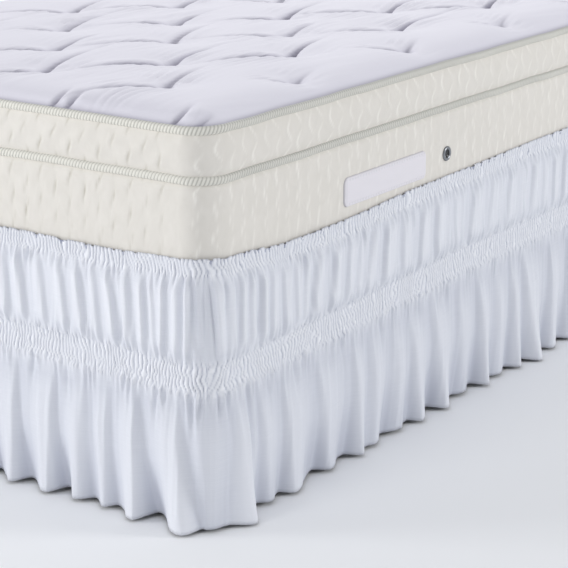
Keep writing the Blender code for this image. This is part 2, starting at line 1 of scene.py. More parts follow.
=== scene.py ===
# Gathered bed skirt round a mattress and its base: cloth, tickings, tapes, light and camera.
# Metres, +Z up, X across the bed, Y along it, the foot of the bed at -Y.

import json

import bpy
import numpy as np
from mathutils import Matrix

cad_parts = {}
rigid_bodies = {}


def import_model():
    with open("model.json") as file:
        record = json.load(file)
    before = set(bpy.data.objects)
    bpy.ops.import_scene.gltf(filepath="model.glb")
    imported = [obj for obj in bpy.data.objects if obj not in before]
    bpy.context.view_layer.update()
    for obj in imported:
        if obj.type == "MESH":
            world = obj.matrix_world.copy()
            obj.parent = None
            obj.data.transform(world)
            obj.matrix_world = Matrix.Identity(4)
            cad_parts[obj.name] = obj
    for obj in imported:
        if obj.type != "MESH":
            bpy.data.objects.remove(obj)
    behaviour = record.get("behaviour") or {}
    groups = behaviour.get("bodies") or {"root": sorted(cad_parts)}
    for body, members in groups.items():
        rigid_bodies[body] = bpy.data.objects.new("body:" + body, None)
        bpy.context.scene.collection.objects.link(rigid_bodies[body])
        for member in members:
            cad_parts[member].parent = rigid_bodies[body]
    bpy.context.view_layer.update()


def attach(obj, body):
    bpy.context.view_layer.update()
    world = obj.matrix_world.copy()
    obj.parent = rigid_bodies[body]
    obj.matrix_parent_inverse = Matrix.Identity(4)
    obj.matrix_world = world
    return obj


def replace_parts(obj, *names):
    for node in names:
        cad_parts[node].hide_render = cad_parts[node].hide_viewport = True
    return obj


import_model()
print("frame loaded")


# Small tools

def rampUp(x, start, end):
    # smooth step 3t^2 - 2t^3, with t from 0 at start to 1 at end
    t = np.clip((x - start) / (end - start), 0, 1)
    return t * t * (3 - 2 * t)


def bell(x, width):
    # exp(-(x / width)^2): 1 at 0 and nearly 0 past two widths
    return np.exp(-(x / width) ** 2)


def easeThrough(places, values, at):
    # half cosine waves from knot to knot, level at each knot
    k = np.clip(np.searchsorted(places, at, side="right") - 1, 0, len(places) - 2)
    t = np.clip((at - places[k]) / (places[k + 1] - places[k]), 0, 1)
    return values[k] + (values[k + 1] - values[k]) * (1 - np.cos(np.pi * t)) / 2


def softNoise(u, v, cellU, cellV, seed):
    # random numbers from -1 to 1 on a lattice of cells, blended by smooth steps between its corners
    lattice = np.random.RandomState(seed).uniform(-1, 1, (512, 64))
    a, b = np.asarray(u) / cellU, np.asarray(v) / cellV
    i, j = np.floor(a).astype(int), np.floor(b).astype(int)
    p, q = rampUp(a - i, 0, 1), rampUp(b - j, 0, 1)
    i0, i1, j0, j1 = i % 512, (i + 1) % 512, j % 64, (j + 1) % 64
    low = lattice[i0, j0] * (1 - p) + lattice[i1, j0] * p
    high = lattice[i0, j1] * (1 - p) + lattice[i1, j1] * p
    return low * (1 - q) + high * q


def newObject(name, data):
    item = bpy.data.objects.new(name, data)
    bpy.context.scene.collection.objects.link(item)
    return item


def gridPiece(name, points, uv, material, flip=False, capped=False, ridge=None):
    # points[row, column, xyz] becomes quads between neighbours; uv[row, column] is in metres along the cloth
    # ridge[row, column] is a painted tone: painted highlight towards 1 on crests, painted shade towards 0 in
    # furrows and creases, and on the handle also its stitches
    # capped closes the first and the last row, whose first and last columns are the same place
    def cells(grid):
        return np.stack((grid[:-1, :-1], grid[1:, :-1], grid[1:, 1:], grid[:-1, 1:]), axis=-1).ravel()

    rows, columns = points.shape[:2]
    place = np.arange(rows * columns).reshape(rows, columns)
    index = place.copy()
    if capped:
        index[:, -1] = index[:, 0]
    loops, uvAt, starts = [cells(index)], [cells(place)], [4 * np.arange((rows - 1) * (columns - 1))]
    if capped:
        for ring in (index[0, :-1], index[-1, :-1][::-1]):
            starts.append([sum(len(part) for part in loops)])
            loops.append(ring)
            uvAt.append(ring)
    loops, starts, uvAt = (np.concatenate(part) for part in (loops, starts, uvAt))
    mesh = bpy.data.meshes.new(name)
    mesh.vertices.add(rows * columns)
    mesh.vertices.foreach_set("co", points.astype(np.float32).ravel())
    mesh.loops.add(len(loops))
    mesh.loops.foreach_set("vertex_index", loops.astype(np.int32))
    mesh.polygons.add(len(starts))
    mesh.polygons.foreach_set("loop_start", starts.astype(np.int32))
    mesh.update(calc_edges=True)
    layer = mesh.uv_layers.new(name="cloth")
    layer.data.foreach_set("uv", uv.reshape(-1, 2)[uvAt].astype(np.float32).ravel())
    if ridge is not None:
        crest = mesh.attributes.new("ridge", "FLOAT", "POINT")
        crest.data.foreach_set("value", ridge.astype(np.float32).ravel())
    if flip:
        mesh.flip_normals()
    mesh.validate()
    mesh.shade_smooth()
    mesh.materials.append(material)
    piece = newObject(name, mesh)
    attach(piece, "root")
    return piece


# Materials

def linear(hexColour):
    # sRGB hex to linear: c / 12.92 below 0.04045, else ((c + 0.055) / 1.055) ^ 2.4
    channels = [int(hexColour[i:i + 2], 16) / 255 for i in (1, 3, 5)]
    return (*[c / 12.92 if c <= 0.04045 else ((c + 0.055) / 1.055) ** 2.4 for c in channels], 1.0)


def newMaterial(name, finish, **shaderValues):
    # finish holds the colour and the roughness
    material = bpy.data.materials.new(name)
    material.use_nodes = True
    material.diffuse_color = linear(finish["colour"])
    inputs = material.node_tree.nodes["Principled BSDF"].inputs
    inputs["Base Color"].default_value = linear(finish["colour"])
    inputs["Roughness"].default_value = finish["roughness"]
    for socket, value in shaderValues.items():
        inputs[socket.replace("_", " ")].default_value = value
    return material


def outputOf(source):
    # a node stands for its first live output
    if isinstance(source, bpy.types.Node):
        return next(output for output in source.outputs if output.enabled)
    return source


def addNode(material, kind, inputs, **settings):
    # one node with its settings; each input is a value, or the node or output that feeds it
    node = material.node_tree.nodes.new("ShaderNode" + kind)
    for key, value in settings.items():
        setattr(node, key, value)
    for key, value in inputs.items():
        if isinstance(value, (bpy.types.Node, bpy.types.NodeSocket)):
            material.node_tree.links.new(outputOf(value), node.inputs[key])
        else:
            node.inputs[key].default_value = value
    return node


def feedShader(material, **sockets):
    shader = material.node_tree.nodes["Principled BSDF"]
    for socket, source in sockets.items():
        material.node_tree.links.new(outputOf(source), shader.inputs[socket.replace("_", " ")])


def tintByRidge(material, low, high):
    # the low colour where the ridge attribute is 0, the high one where it is 1
    ridge = addNode(material, "Attribute", {}, attribute_name="ridge").outputs["Fac"]
    tint = addNode(material, "Mix", {"Factor": ridge, "A": linear(low), "B": linear(high)}, data_type="RGBA")
    feedShader(material, Base_Color=tint)


def tintThrough(material, finish, pattern):
    # shade to colour by the pattern, and that tint falls to the furrow colour, a painted shade, where the ridge
    # attribute is 0, and rises from its middle on to the crest colour, a painted highlight, at 1
    tint = addNode(material, "Mix", {
        "Factor": pattern, "A": linear(finish["shade"]), "B": linear(finish["colour"])}, data_type="RGBA")
    ridge = addNode(material, "Attribute", {}, attribute_name="ridge").outputs["Fac"]
    depth = addNode(material, "MapRange", {"Value": ridge, "From Min": 0.0, "From Max": 0.5})
    height = addNode(material, "MapRange", {"Value": ridge, "From Min": 0.5, "From Max": 1.0})
    furrowed = addNode(material, "Mix", {
        "Factor": depth, "A": linear(finish["furrow"]), "B": tint}, data_type="RGBA")
    crested = addNode(material, "Mix", {
        "Factor": height, "A": furrowed, "B": linear(finish["crest"])}, data_type="RGBA")
    feedShader(material, Base_Color=crested)


def raisedPattern(material, texture, cell, strength, distance, below=None, **inputs):
    # a texture with cells of a size in metres along the cloth, and the bump that it adds to the one below
    uv = addNode(material, "UVMap", {}, uv_map="cloth")
    scaled = addNode(material, "Mapping", {"Vector": uv, "Scale": (1 / cell[0], 1 / cell[1], 1)})
    pattern = addNode(material, texture, {"Vector": scaled, "Scale": 1.0, **inputs})
    bump = addNode(material, "Bump", {"Height": pattern, "Strength": strength, "Distance": distance})
    if below:
        material.node_tree.links.new(outputOf(below), bump.inputs["Normal"])
    feedShader(material, Normal=bump)
    return pattern, bump


cloth = {
    "colour": "#e1e3ea",          # optical white with a cool, slightly lilac cast
    "shade": "#d7dae2",
    "furrow": "#9399ae",          # painted shade in the furrows and troughs of the gathered cloth
    # painted highlight on the crests of the gathers and folds
    "crest": "#f6f7fb",
    "roughness": 0.85,
    "fullness": 1.3,              # cut length over gathered length
    "cutHeight": 0.42,            # the drop and its turned edges
    "slub": (0.060, 0.0016),      # thick places in the weft, seen as faint streaks across the cloth
    "thread": (0.0011, 0.0011),   # real threads are 0.2 mm; drawn coarser, so that the weave shows at all
}


def clothMaterial():
    # brushed polyester microfibre, plain woven: matt, with a faint edge sheen and fine streaks of weft
    material = newMaterial("brushedMicrofibre", cloth, Sheen_Weight=0.15, Sheen_Roughness=0.5,
                           Specular_IOR_Level=0.2)
    slub, low = raisedPattern(material, "TexNoise", cloth["slub"], 0.25, 0.0006, Detail=2.0)
    raisedPattern(material, "TexVoronoi", cloth["thread"], 0.15, 0.0003, below=low)
    tintThrough(material, cloth, slub)
    return material


microfibre = clothMaterial()


# Bed skirt: four cloths from seam to seam, each gathered at the heading and at the middle band

skirt = {
    "halfWidth": 0.4962,          # the plane that the gathered bands grip, 1.2 mm outside the mattress
    "halfLength": 0.9512, "cornerRadius": 0.044, "headingWidth": 0.024, "bandWidth": 0.038,
    "hemHeight": 0.0032, "hemLift": 0.004, "upperTrough": 0.0032, "upperCrest": 0.0105,
    "lowerTrough": 0.0034, "lowerCrest": 0.0160, "leastSwell": 0.5, "hemReach": 0.0280, "hemTuck": 0.0150,
    "cornerBillow": 0.0090, "cornerHem": 0.0040, "steepWidth": 0.0085, "steepShare": 0.42,
    "easeUpper": (-0.04, 0.21),   # shares of a tier's drop between which its folds swell out of a band
    "easeLower": (-0.06, 0.46),
    "turnLower": 0.51,            # from here the lower folds spread to their places at the hem
    "spreadPower": 1.2,
}

# Rule for the folds beyond the tables, drawn from a seeded generator
foldRule = {
    "lean": (-0.25, 0.10), "leastPitch": 0.7, "troughBefore": (0.34, 0.46), "upperDepths": (0.35, 1.0),
    "hemDepths": (0.2, 1.0), "hemReaches": (0.1, 0.7), "upperStop": 1.5, "lowerStop": 2.3,
    "bandShift": (-0.15, 0.10),
    "firstUpper": (0.012, 0.014, 0.7), "firstLower": (0.046, 0.015, -0.05, 0.045, 1.0),
    "lastCrest": 0.045, "lastTrough": 0.073, "lastAtBand": 0.057,
}

# Upper tier, a row for each fold: place below the heading, place above the band, depth
footUpper = (
    (0.02, 0.025, 0.7), (0.038, 0.04, 0.9), (0.061, 0.066, 0.8), (0.083, 0.08, 0.4),
    (0.101, 0.097, 1.0), (0.128, 0.122, 0.7), (0.161, 0.146, 1.0), (0.19, 0.18, 0.6),
    (0.22, 0.206, 0.9), (0.251, 0.24, 0.8), (0.291, 0.28, 0.6), (0.331, 0.32, 0.9),
)
rightUpper = (
    (0.009, 0.014, 0.8), (0.031, 0.033, 0.4), (0.056, 0.056, 0.9), (0.079, 0.08, 0.5),
    (0.107, 0.106, 0.9), (0.133, 0.13, 0.6), (0.16, 0.166, 0.7), (0.19, 0.197, 0.6),
    (0.218, 0.213, 0.4), (0.251, 0.232, 0.8), (0.3, 0.283, 0.9), (0.336, 0.328, 0.6),
    (0.372, 0.356, 0.4), (0.403, 0.383, 0.7), (0.445, 0.431, 1.0), (0.493, 0.491, 0.6),
    (0.55, 0.543, 1.0), (0.597, 0.593, 0.7), (0.656, 0.653, 0.4), (0.721, 0.703, 0.7),
    (0.783, 0.766, 0.4), (0.841, 0.836, 0.4), (0.887, 0.885, 0.3), (0.931, 0.921, 0.5),
    (0.97, 0.97, 0.3),
)

# Lower tier: place at the band, then at the hem the trough's place and depth, the crest's place and reach
footLower = (
    (0.046, 0.01, -0.05, 0.031, 1.0), (0.118, 0.094, 0.9, 0.118, 0.8),
    (0.168, 0.162, 0.3, 0.18, 0.35), (0.211, 0.206, 0.45, 0.233, 0.4),
    (0.27, 0.264, 1.0, 0.288, 0.55), (0.345, 0.336, 0.8, 0.358, 0.45),
)
rightLower = (
    (0.046, 0.022, -0.05, 0.06, 0.95), (0.096, 0.11, 0.7, 0.134, 0.1),
    (0.158, 0.164, 0.45, 0.186, 0.45), (0.246, 0.264, 1.0, 0.291, 0.2),
    (0.348, 0.344, 0.8, 0.372, 0.45), (0.401, 0.395, 0.1, 0.425, 0.2),
    (0.465, 0.457, 0.75, 0.498, 0.1), (0.515, 0.532, 0.6, 0.556, 0.45),
    (0.583, 0.604, 1.0, 0.632, 0.55), (0.67, 0.678, 0.7, 0.712, 0.05),
    (0.738, 0.748, 0.85, 0.774, 0.55), (0.806, 0.8, 0.3, 0.832, 0.2),
    (0.855, 0.864, 0.4, 0.89, 0.55), (0.9, 0.918, 0.2, 0.946, 1.0),
    (1.008, 0.993, 0.45, 1.02, 0.5),
)

# Heights of the heading's top and the band's middle: place, height, between the corner heights
cornerHeading, cornerBand = 0.404, 0.229

# Short creases seen in the photograph: place and height of the top, then of the lower end, width, depth
footCreases = {
    "upper": (
        (0.0045, 0.384, 0.001, 0.262, 0.0026, 0.003), (0.0185, 0.384, 0.015, 0.265, 0.0032, 0.0036),
        (0.03, 0.386, 0.033, 0.25, 0.003, 0.003), (0.083, 0.382, 0.081, 0.336, 0.003, 0.0026),
        (0.142, 0.27, 0.136, 0.312, 0.0035, 0.0026), (0.203, 0.384, 0.2, 0.33, 0.003, 0.0026),
        (0.313, 0.384, 0.312, 0.34, 0.0035, 0.0026),
    ),
    "lower": (
        (0.006, 0.208, 0.012, 0.166, 0.003, 0.0032), (0.023, 0.21, 0.019, 0.14, 0.0035, 0.0034),
        (0.036, 0.21, 0.03, 0.165, 0.0028, 0.0028), (0.068, 0.212, 0.064, 0.178, 0.003, 0.0028),
        (0.081, 0.212, 0.084, 0.152, 0.004, 0.0034), (0.14, 0.214, 0.144, 0.176, 0.0035, 0.0028),
        (0.248, 0.216, 0.244, 0.16, 0.0045, 0.0034), (0.311, 0.216, 0.316, 0.168, 0.0045, 0.0034),
    ),
}
rightCreases = {
    "upper": (
        (0.0012, 0.388, 0.0135, 0.246, 0.0024, 0.0042), (0.024, 0.386, 0.0225, 0.3, 0.003, 0.003),
        (0.044, 0.384, 0.047, 0.3, 0.0035, 0.0028), (0.094, 0.262, 0.098, 0.31, 0.004, 0.003),
        (0.215, 0.372, 0.211, 0.318, 0.0045, 0.003), (0.27, 0.368, 0.268, 0.32, 0.0045, 0.0026),
        (0.372, 0.374, 0.376, 0.322, 0.005, 0.003), (0.52, 0.374, 0.515, 0.32, 0.0055, 0.003),
    ),
    "lower": (
        (0.016, 0.21, 0.011, 0.158, 0.0032, 0.0034), (0.028, 0.21, 0.031, 0.15, 0.0038, 0.0036),
        (0.072, 0.212, 0.08, 0.02, 0.006, 0.0052), (0.128, 0.214, 0.124, 0.168, 0.0045, 0.0032),
        (0.19, 0.216, 0.196, 0.15, 0.005, 0.0036), (0.216, 0.216, 0.21, 0.178, 0.004, 0.003),
        (0.29, 0.217, 0.284, 0.156, 0.0055, 0.0036), (0.318, 0.217, 0.322, 0.176, 0.0045, 0.003),
        (0.43, 0.219, 0.436, 0.16, 0.006, 0.0036), (0.552, 0.222, 0.548, 0.17, 0.006, 0.0036),
        (0.628, 0.224, 0.634, 0.172, 0.006, 0.0034),
    ),
}

panels = {
    "footCloth": {
        "node": "skirt_foot", "corner": (1, -1), "along": (-1, 0), "out": (0, -1),
        "upper": footUpper, "lower": footLower, "creases": footCreases, "pitch": (0.026, 0.036),
        "broad": (0.050, 0.068), "seed": 11, "columns": 1250, "ridge": 0.0063,
        "heading": ((0.05, 0.402), (0.17, 0.398), (0.35, 0.400), (0.70, 0.397)),
        "band": ((0.05, 0.230), (0.20, 0.235), (0.35, 0.236), (0.70, 0.233))},
    "rightCloth": {
        "node": "skirt_right", "corner": (1, -1), "along": (0, 1), "out": (1, 0),
        "upper": rightUpper, "lower": rightLower, "creases": rightCreases, "pitch": (0.036, 0.054),
        "broad": (0.062, 0.088), "seed": 12, "columns": 1800, "ridge": 0.0075,
        "heading": ((0.06, 0.401), (0.18, 0.3915), (0.30, 0.3915), (0.57, 0.400), (1.02, 0.405), (1.50, 0.398)),
        "band": ((0.10, 0.231), (0.30, 0.235), (0.50, 0.240), (0.70, 0.245), (1.00, 0.243), (1.50, 0.235))},
    "headCloth": {
        "node": "skirt_head", "corner": (1, 1), "along": (-1, 0), "out": (0, 1),
        "upper": (), "lower": (), "creases": {}, "pitch": (0.026, 0.040),
        "broad": (0.052, 0.072), "seed": 13, "columns": 800, "ridge": 0.0066,
        "heading": ((0.20, 0.398), (0.50, 0.402), (0.80, 0.397)), "band": ((0.25, 0.235), (0.60, 0.231))},
    "leftCloth": {
        "node": "skirt_left", "corner": (-1, -1), "along": (0, 1), "out": (-1, 0),
        "upper": (), "lower": (), "creases": {}, "pitch": (0.034, 0.054),
        "broad": (0.062, 0.088), "seed": 14, "columns": 1120, "ridge": 0.0078,
        "heading": ((0.20, 0.397), (0.70, 0.403), (1.20, 0.396), (1.60, 0.401)),
        "band": ((0.30, 0.236), (0.90, 0.231), (1.40, 0.238))},
}

# Gathering in the heading and the band, and the short gathers that run out of them
gathers = {
    "lift": 0.0006, "height": 0.0033, "fadeOut": 0.007, "unevenness": 0.35, "unevenCell": (0.008, 0.012),
    "sway": 0.55, "swayCell": (0.014, 0.009), "broadSway": 0.8, "broadCell": (0.045, 0.060),
    "slant": 0.35, "slantCell": 0.11, "elasticPitch": 0.0095, "elasticPinch": 0.45,
    # painted highlight on fold crests and painted shade in fold troughs, over these spans of offset
    "paintedCrestLight": 0.16, "paintedTroughShade": 0.17, "upperTone": (0.004, 0.0105), "lowerTone": (-0.010, 0.024),
    "free": (0.004, 0.030),       # distances from a band over which the cloth gets free of it
    "mergedPitch": 0.0125, "mergedHeight": 0.0036, "mergedSway": 0.55, "mergedCell": (0.024, 0.030),
    "mergedReach": 0.027, "reachCell": 0.012,
    "streakCell": (0.011, 0.120), "streakHeight": 0.0014, "threadCell": (0.005, 0.200), "threadHeight": 0.0005,
}

# The top edge bobs with its gathers and gapes in places, the heading folds back inside, the hem is doubled
edges = {
    "seamRun": 0.006, "bobUp": 0.8, "bobOut": 0.6, "lift": 0.0004,
    "gapeCell": 0.0055, "gapeSink": 0.0024, "gapeOut": 0.0022,
    "foldBelow": (0.006, 0.0008), "foldInside": (0.0014, 0.0010), "paintedFoldShade": 0.2,
    "hemWall": 0.0012, "hemTurn": 0.0005, "hemDepth": 0.014,
}

# Grid rows of a cloth: shares of the heading, the upper tier, the band and the lower tier
rowShares = {
    "heading": np.linspace(0, 1, 8),
    "upper": np.array((0.03, 0.07, 0.12, 0.18, 0.26, 0.36, 0.46, 0.56, 0.66, 0.75, 0.82, 0.88, 0.93, 0.97)),
    "band": np.linspace(0, 1, 12),
    "lower": np.array((0.02, 0.05, 0.09, 0.14, 0.20, 0.28, 0.37, 0.46, 0.55, 0.64, 0.73, 0.81, 0.88, 0.935,
                       0.948, 0.97, 1.0)),
}


def panelLength(panel):
    # the straight run, and the run from seam to seam with an eighth of a circle at either end
    half = np.array((skirt["halfWidth"], skirt["halfLength"]))
    straight = 2 * (np.abs(np.array(panel["along"])) @ half - skirt["cornerRadius"])
    return straight, straight + skirt["cornerRadius"] * np.pi / 2


def panelPlace(panel, distance):
    # a straight run between two eighths of a circle; gives plan points and outward directions
    along, out = np.array(panel["along"], float), np.array(panel["out"], float)
    radius = skirt["cornerRadius"]
    centre = np.array(panel["corner"]) * (np.array((skirt["halfWidth"], skirt["halfLength"])) - radius)
    straight, length = panelLength(panel)
    halfArc = radius * np.pi / 4
    turn = (np.clip(distance - halfArc - straight, 0, None) - np.clip(halfArc - distance, 0, None)) / radius
    direction = np.cos(turn)[..., None] * out + np.sin(turn)[..., None] * along
    run = np.clip(distance - halfArc, 0, straight)
    return centre + run[..., None] * along + radius * direction, direction


def upperFolds(panel):
    # the table's rows, then rows drawn one pitch after another up to the seam
    length = panelLength(panel)[1]
    folds = list(panel["upper"]) or [foldRule["firstUpper"]]
    draw = np.random.RandomState(panel["seed"])
    low, high = panel["pitch"]
    while folds[-1][0] < length - foldRule["upperStop"] * high:
        place = folds[-1][0] + draw.uniform(low, high)
        below = max(place + draw.uniform(*foldRule["lean"]) * low, folds[-1][1] + foldRule["leastPitch"] * low)
        folds.append((place, below, draw.uniform(*foldRule["upperDepths"])))
    return np.array(folds)


def lowerFolds(panel):
    # the table's rows, drawn rows, and a last fold that stands out at the corner
    length = panelLength(panel)[1]
    folds = list(panel["lower"]) or [foldRule["firstLower"]]
    draw = np.random.RandomState(panel["seed"] + 100)
    low, high = panel["broad"]
    while folds[-1][3] < length - foldRule["lowerStop"] * high:
        crest = folds[-1][3] + draw.uniform(low, high)
        trough = crest - draw.uniform(*foldRule["troughBefore"]) * low
        band = (crest + trough) / 2 + draw.uniform(*foldRule["bandShift"]) * low
        folds.append((band, trough, draw.uniform(*foldRule["hemDepths"]),
                      crest, draw.uniform(*foldRule["hemReaches"])))
    folds.append((length - foldRule["lastAtBand"], length - foldRule["lastTrough"], 0.5,
                  length - foldRule["lastCrest"], 1.0))
    return np.array(folds)


def waveAcross(trough, crest, low, high, corner, length, at):
    # half cosine waves from trough to crest and on, with the corner's height at both seams
    places = np.concatenate(([0.0], np.column_stack((trough, crest)).ravel(), [length]))
    values = np.concatenate(([corner], np.column_stack((low, high)).ravel(), [corner]))
    return easeThrough(places, values, at)


def upperOffset(panel, folds, drop, at):
    # folds between heading and band: knots slide straight down the tier and swell out of both bands
    length = panelLength(panel)[1]
    middle = folds[:, 0] * (1 - drop) + folds[:, 1] * drop
    half = np.minimum(skirt["steepWidth"], skirt["steepShare"] * np.diff(np.append(middle, length))) / 2
    half = np.minimum(half, skirt["steepShare"] * np.diff(np.insert(middle, 0, 0.0)))
    swell = rampUp(drop, *skirt["easeUpper"]) * rampUp(1 - drop, *skirt["easeUpper"])
    span = skirt["upperCrest"] - skirt["upperTrough"]
    low = skirt["upperTrough"] + span * (1 - folds[:, 2]) / 2
    return swell * waveAcross(middle - half, middle + half, low, low + span * folds[:, 2],
                              skirt["upperTrough"], length, at)


def lowerOffset(panel, folds, drop, at):
    # folds below the band: they swell out slowly, then spread to their places at the hem
    length = panelLength(panel)[1]
    trough = (folds[:, 0] - skirt["steepWidth"] / 2) * (1 - drop) + folds[:, 1] * drop
    crest = (folds[:, 0] + skirt["steepWidth"] / 2) * (1 - drop) + folds[:, 3] * drop
    swell = rampUp(drop, *skirt["easeLower"])
    spread = np.clip((drop - skirt["turnLower"]) / (1 - skirt["turnLower"]), 0, 1) ** skirt["spreadPower"]
    share = skirt["leastSwell"] + (1 - skirt["leastSwell"]) * folds[:, 4]
    out = skirt["lowerTrough"] + (skirt["lowerCrest"] - skirt["lowerTrough"]) * share
    low = swell * skirt["lowerTrough"] * (1 - spread) - skirt["hemTuck"] * folds[:, 2] * spread
    high = swell * out * (1 - spread) + skirt["hemReach"] * folds[:, 4] * spread
    corner = swell * skirt["cornerBillow"] * (1 - spread) + skirt["cornerHem"] * spread
    return waveAcross(trough, crest, low, high, corner, length, at)


def gatherRelief(at, fromBand, beyond, seed, pitch):
    # fine ridges held by the elastic, slanted one way and then the other, and broader ones that run out of it
    # ridge phase = distance / pitch + slant * height / pitch + sway; pinched at every line of elastic
    slant = gathers["slant"] * softNoise(at, 0 * at, gathers["slantCell"], 1.0, seed + 5)
    sway = gathers["sway"] * softNoise(at, fromBand, *gathers["swayCell"], seed)
    sway = sway + gathers["broadSway"] * softNoise(at, fromBand, *gathers["broadCell"], seed + 1)
    phase = at / pitch + sway + slant * fromBand / pitch
    fine = np.abs(np.sin(np.pi * phase)) ** 0.7   # round ridges, narrow furrows
    pinch = 1 - gathers["elasticPinch"] * np.cos(np.pi * fromBand / gathers["elasticPitch"]) ** 8
    weight = 0.75 + gathers["unevenness"] * softNoise(at, fromBand, *gathers["unevenCell"], seed + 2)
    past = np.maximum(beyond, 0)
    fineHeight = gathers["height"] * pinch * weight * np.exp(-(past / gathers["fadeOut"]) ** 1.5)
    mergedSway = gathers["mergedSway"] * softNoise(at, fromBand, *gathers["mergedCell"], seed + 3)
    merged = 0.5 - 0.5 * np.cos(2 * np.pi * (at / gathers["mergedPitch"] + mergedSway))
    reach = gathers["mergedReach"] * (0.75 + 0.6 * softNoise(at, 0 * at, gathers["reachCell"], 1.0, seed + 4))
    mergedHeight = gathers["mergedHeight"] * rampUp(beyond, -0.003, 0.006) * bell(past, reach)
    # painted shade in the fine furrows and painted highlight on the fine ridges
    tone = 0.5 + 0.5 * (2 * fine - 1.05) * fineHeight / gathers["height"]
    return fine * fineHeight + merged * mergedHeight, tone


def creaseRelief(panel, tier, at, z):
    # a soft trough along a line from its top to its lower end, with a low ridge at either side:
    # depth / 2 * bell(|away - 0.6 width| - 1.6 width) - depth * bell(away), fading at both ends
    relief = 0 * at
    for topAt, topZ, endAt, endZ, width, depth in panel["creases"].get(tier, ()):
        t = (topZ - z) / (topZ - endZ)
        away = at - topAt - (endAt - topAt) * np.clip(t, 0, 1)
        fade = rampUp(t, -0.12, 0.12) * rampUp(1 - t, -0.05, 0.55)
        ridges = bell(np.abs(away - 0.6 * width) - 1.6 * width, 1.2 * width)
        relief = relief + depth * fade * (0.5 * ridges - bell(away, width))
    return relief


def skirtCloth(name, panel):
    # offset out of the skirt plane = folds of the tier + gathers of both bands + soft upright streaks
    length = panelLength(panel)[1]
    at = np.linspace(0, length, panel["columns"])
    seed = 20 * panel["seed"]
    top, middle = (easeThrough(*np.array(((0, corner), *panel[line], (length, corner))).T, at)
                   for line, corner in (("heading", cornerHeading), ("band", cornerBand)))
    tierTop = top - skirt["headingWidth"]
    bandTop, bandLow = middle + skirt["bandWidth"] / 2, middle - skirt["bandWidth"] / 2
    upper, lower = upperFolds(panel), lowerFolds(panel)
    hemOffset = lowerOffset(panel, lower, 1.0, at)
    reachSpan = skirt["hemReach"] + skirt["hemTuck"]
    hem = skirt["hemHeight"] + skirt["hemLift"] * (skirt["hemReach"] - hemOffset) / reachSpan
    # the cloths meet exactly at their seams
    awayFromSeam = rampUp(np.minimum(at, length - at), 0, edges["seamRun"])

    zones = {"heading": (top, tierTop), "upper": (tierTop, bandTop), "band": (bandTop, bandLow),
             "lower": (bandLow, hem)}
    heights, offsets, tones = [], [], []
    for zone, (start, end) in zones.items():
        for share in rowShares[zone]:
            z = start + (end - start) * share
            base = 0 * at
            if zone == "upper":
                base = upperOffset(panel, upper, share, at)
            elif zone == "lower":
                base = lowerOffset(panel, lower, share, at)
            beyondBand = np.maximum(z - bandTop, bandLow - z)
            nearTop = z > (tierTop + bandTop) / 2
            relief, tone = [np.where(nearTop, a, b) for a, b in zip(
                gatherRelief(at, z - top, tierTop - z, seed, panel["ridge"]),
                gatherRelief(at, z - middle, beyondBand, seed + 7, panel["ridge"]))]
            relief = relief + creaseRelief(panel, zone, at, z)
            free = rampUp(tierTop - z, *gathers["free"]) * rampUp(beyondBand, *gathers["free"])
            # a little painted highlight on the folds' crests, and painted shade in the lower tier's troughs
            if zone == "upper":
                tone = tone + free * gathers["paintedCrestLight"] * rampUp(base, *gathers["upperTone"])
            elif zone == "lower":
                fold = rampUp(base, *gathers["lowerTone"])
                tone = tone + free * (gathers["paintedCrestLight"] * fold - gathers["paintedTroughShade"] * (1 - fold))
            streak = gathers["streakHeight"] * softNoise(at, z, *gathers["streakCell"], seed + 15)
            streak = streak + gathers["threadHeight"] * softNoise(at, z, *gathers["threadCell"], seed + 16)
            heights.append(z)
            offsets.append(base + gathers["lift"] + (relief + streak * free) * awayFromSeam)
            tones.append(tone)
    gape = np.clip(softNoise(at, 0 * at, edges["gapeCell"], 1.0, seed + 17), 0, 1) * awayFromSeam
    bob = (offsets[0] - offsets[0].mean()) * awayFromSeam
    heights[0] = heights[0] + edges["bobUp"] * bob - edges["gapeSink"] * gape
    offsets[0] = offsets[0] + edges["bobOut"] * bob + edges["lift"] + edges["gapeOut"] * gape
    # painted shade inside where the top edge gapes
    tones[0] = tones[0] * (1 - gape)   # dark inside where it gapes
    flat = 0 * at
    folded = [heights[0] - below for below in edges["foldBelow"]]
    heights = folded + heights + [hem + edges["hemTurn"], hem + edges["hemDepth"]]
    folded = [offsets[0] - inside for inside in edges["foldInside"]]
    offsets = folded + offsets + [offsets[-1], offsets[-4]]
    inward = [flat] * (len(heights) - 2) + [flat + edges["hemWall"]] * 2
    # painted shade on the heading's turned-in rows
    tones = [flat + edges["paintedFoldShade"], tones[0]] + tones + [flat + 0.5] * 2

    heights, offsets, inward = np.array(heights), np.array(offsets), np.array(inward)
    plan, direction = panelPlace(panel, np.broadcast_to(at, offsets.shape))
    plan = plan + offsets[..., None] * direction
    tangent = np.gradient(plan, axis=1)
    square = np.stack((tangent[..., 1], -tangent[..., 0]), axis=-1)
    square /= np.linalg.norm(square, axis=-1)[..., None]
    square *= np.sign(np.sum(square * direction, axis=-1))[..., None]
    plan = plan - inward[..., None] * square
    points = np.concatenate((plan, heights[..., None]), axis=-1)
    uv = np.stack((np.broadcast_to(at * cloth["fullness"], offsets.shape), heights), axis=-1)
    along, out = panel["along"], panel["out"]
    return gridPiece(name, points, uv, microfibre, ridge=np.array(tones),
                     flip=along[0] * out[1] - along[1] * out[0] > 0)


for name, panel in panels.items():
    piece = skirtCloth(name, panel)
    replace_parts(piece, panel["node"])
    print(name, len(piece.data.polygons) * 2, "triangles")


# Mattress: bordered core, gusset, tufted top, two ribbed tapes, handle and air vent

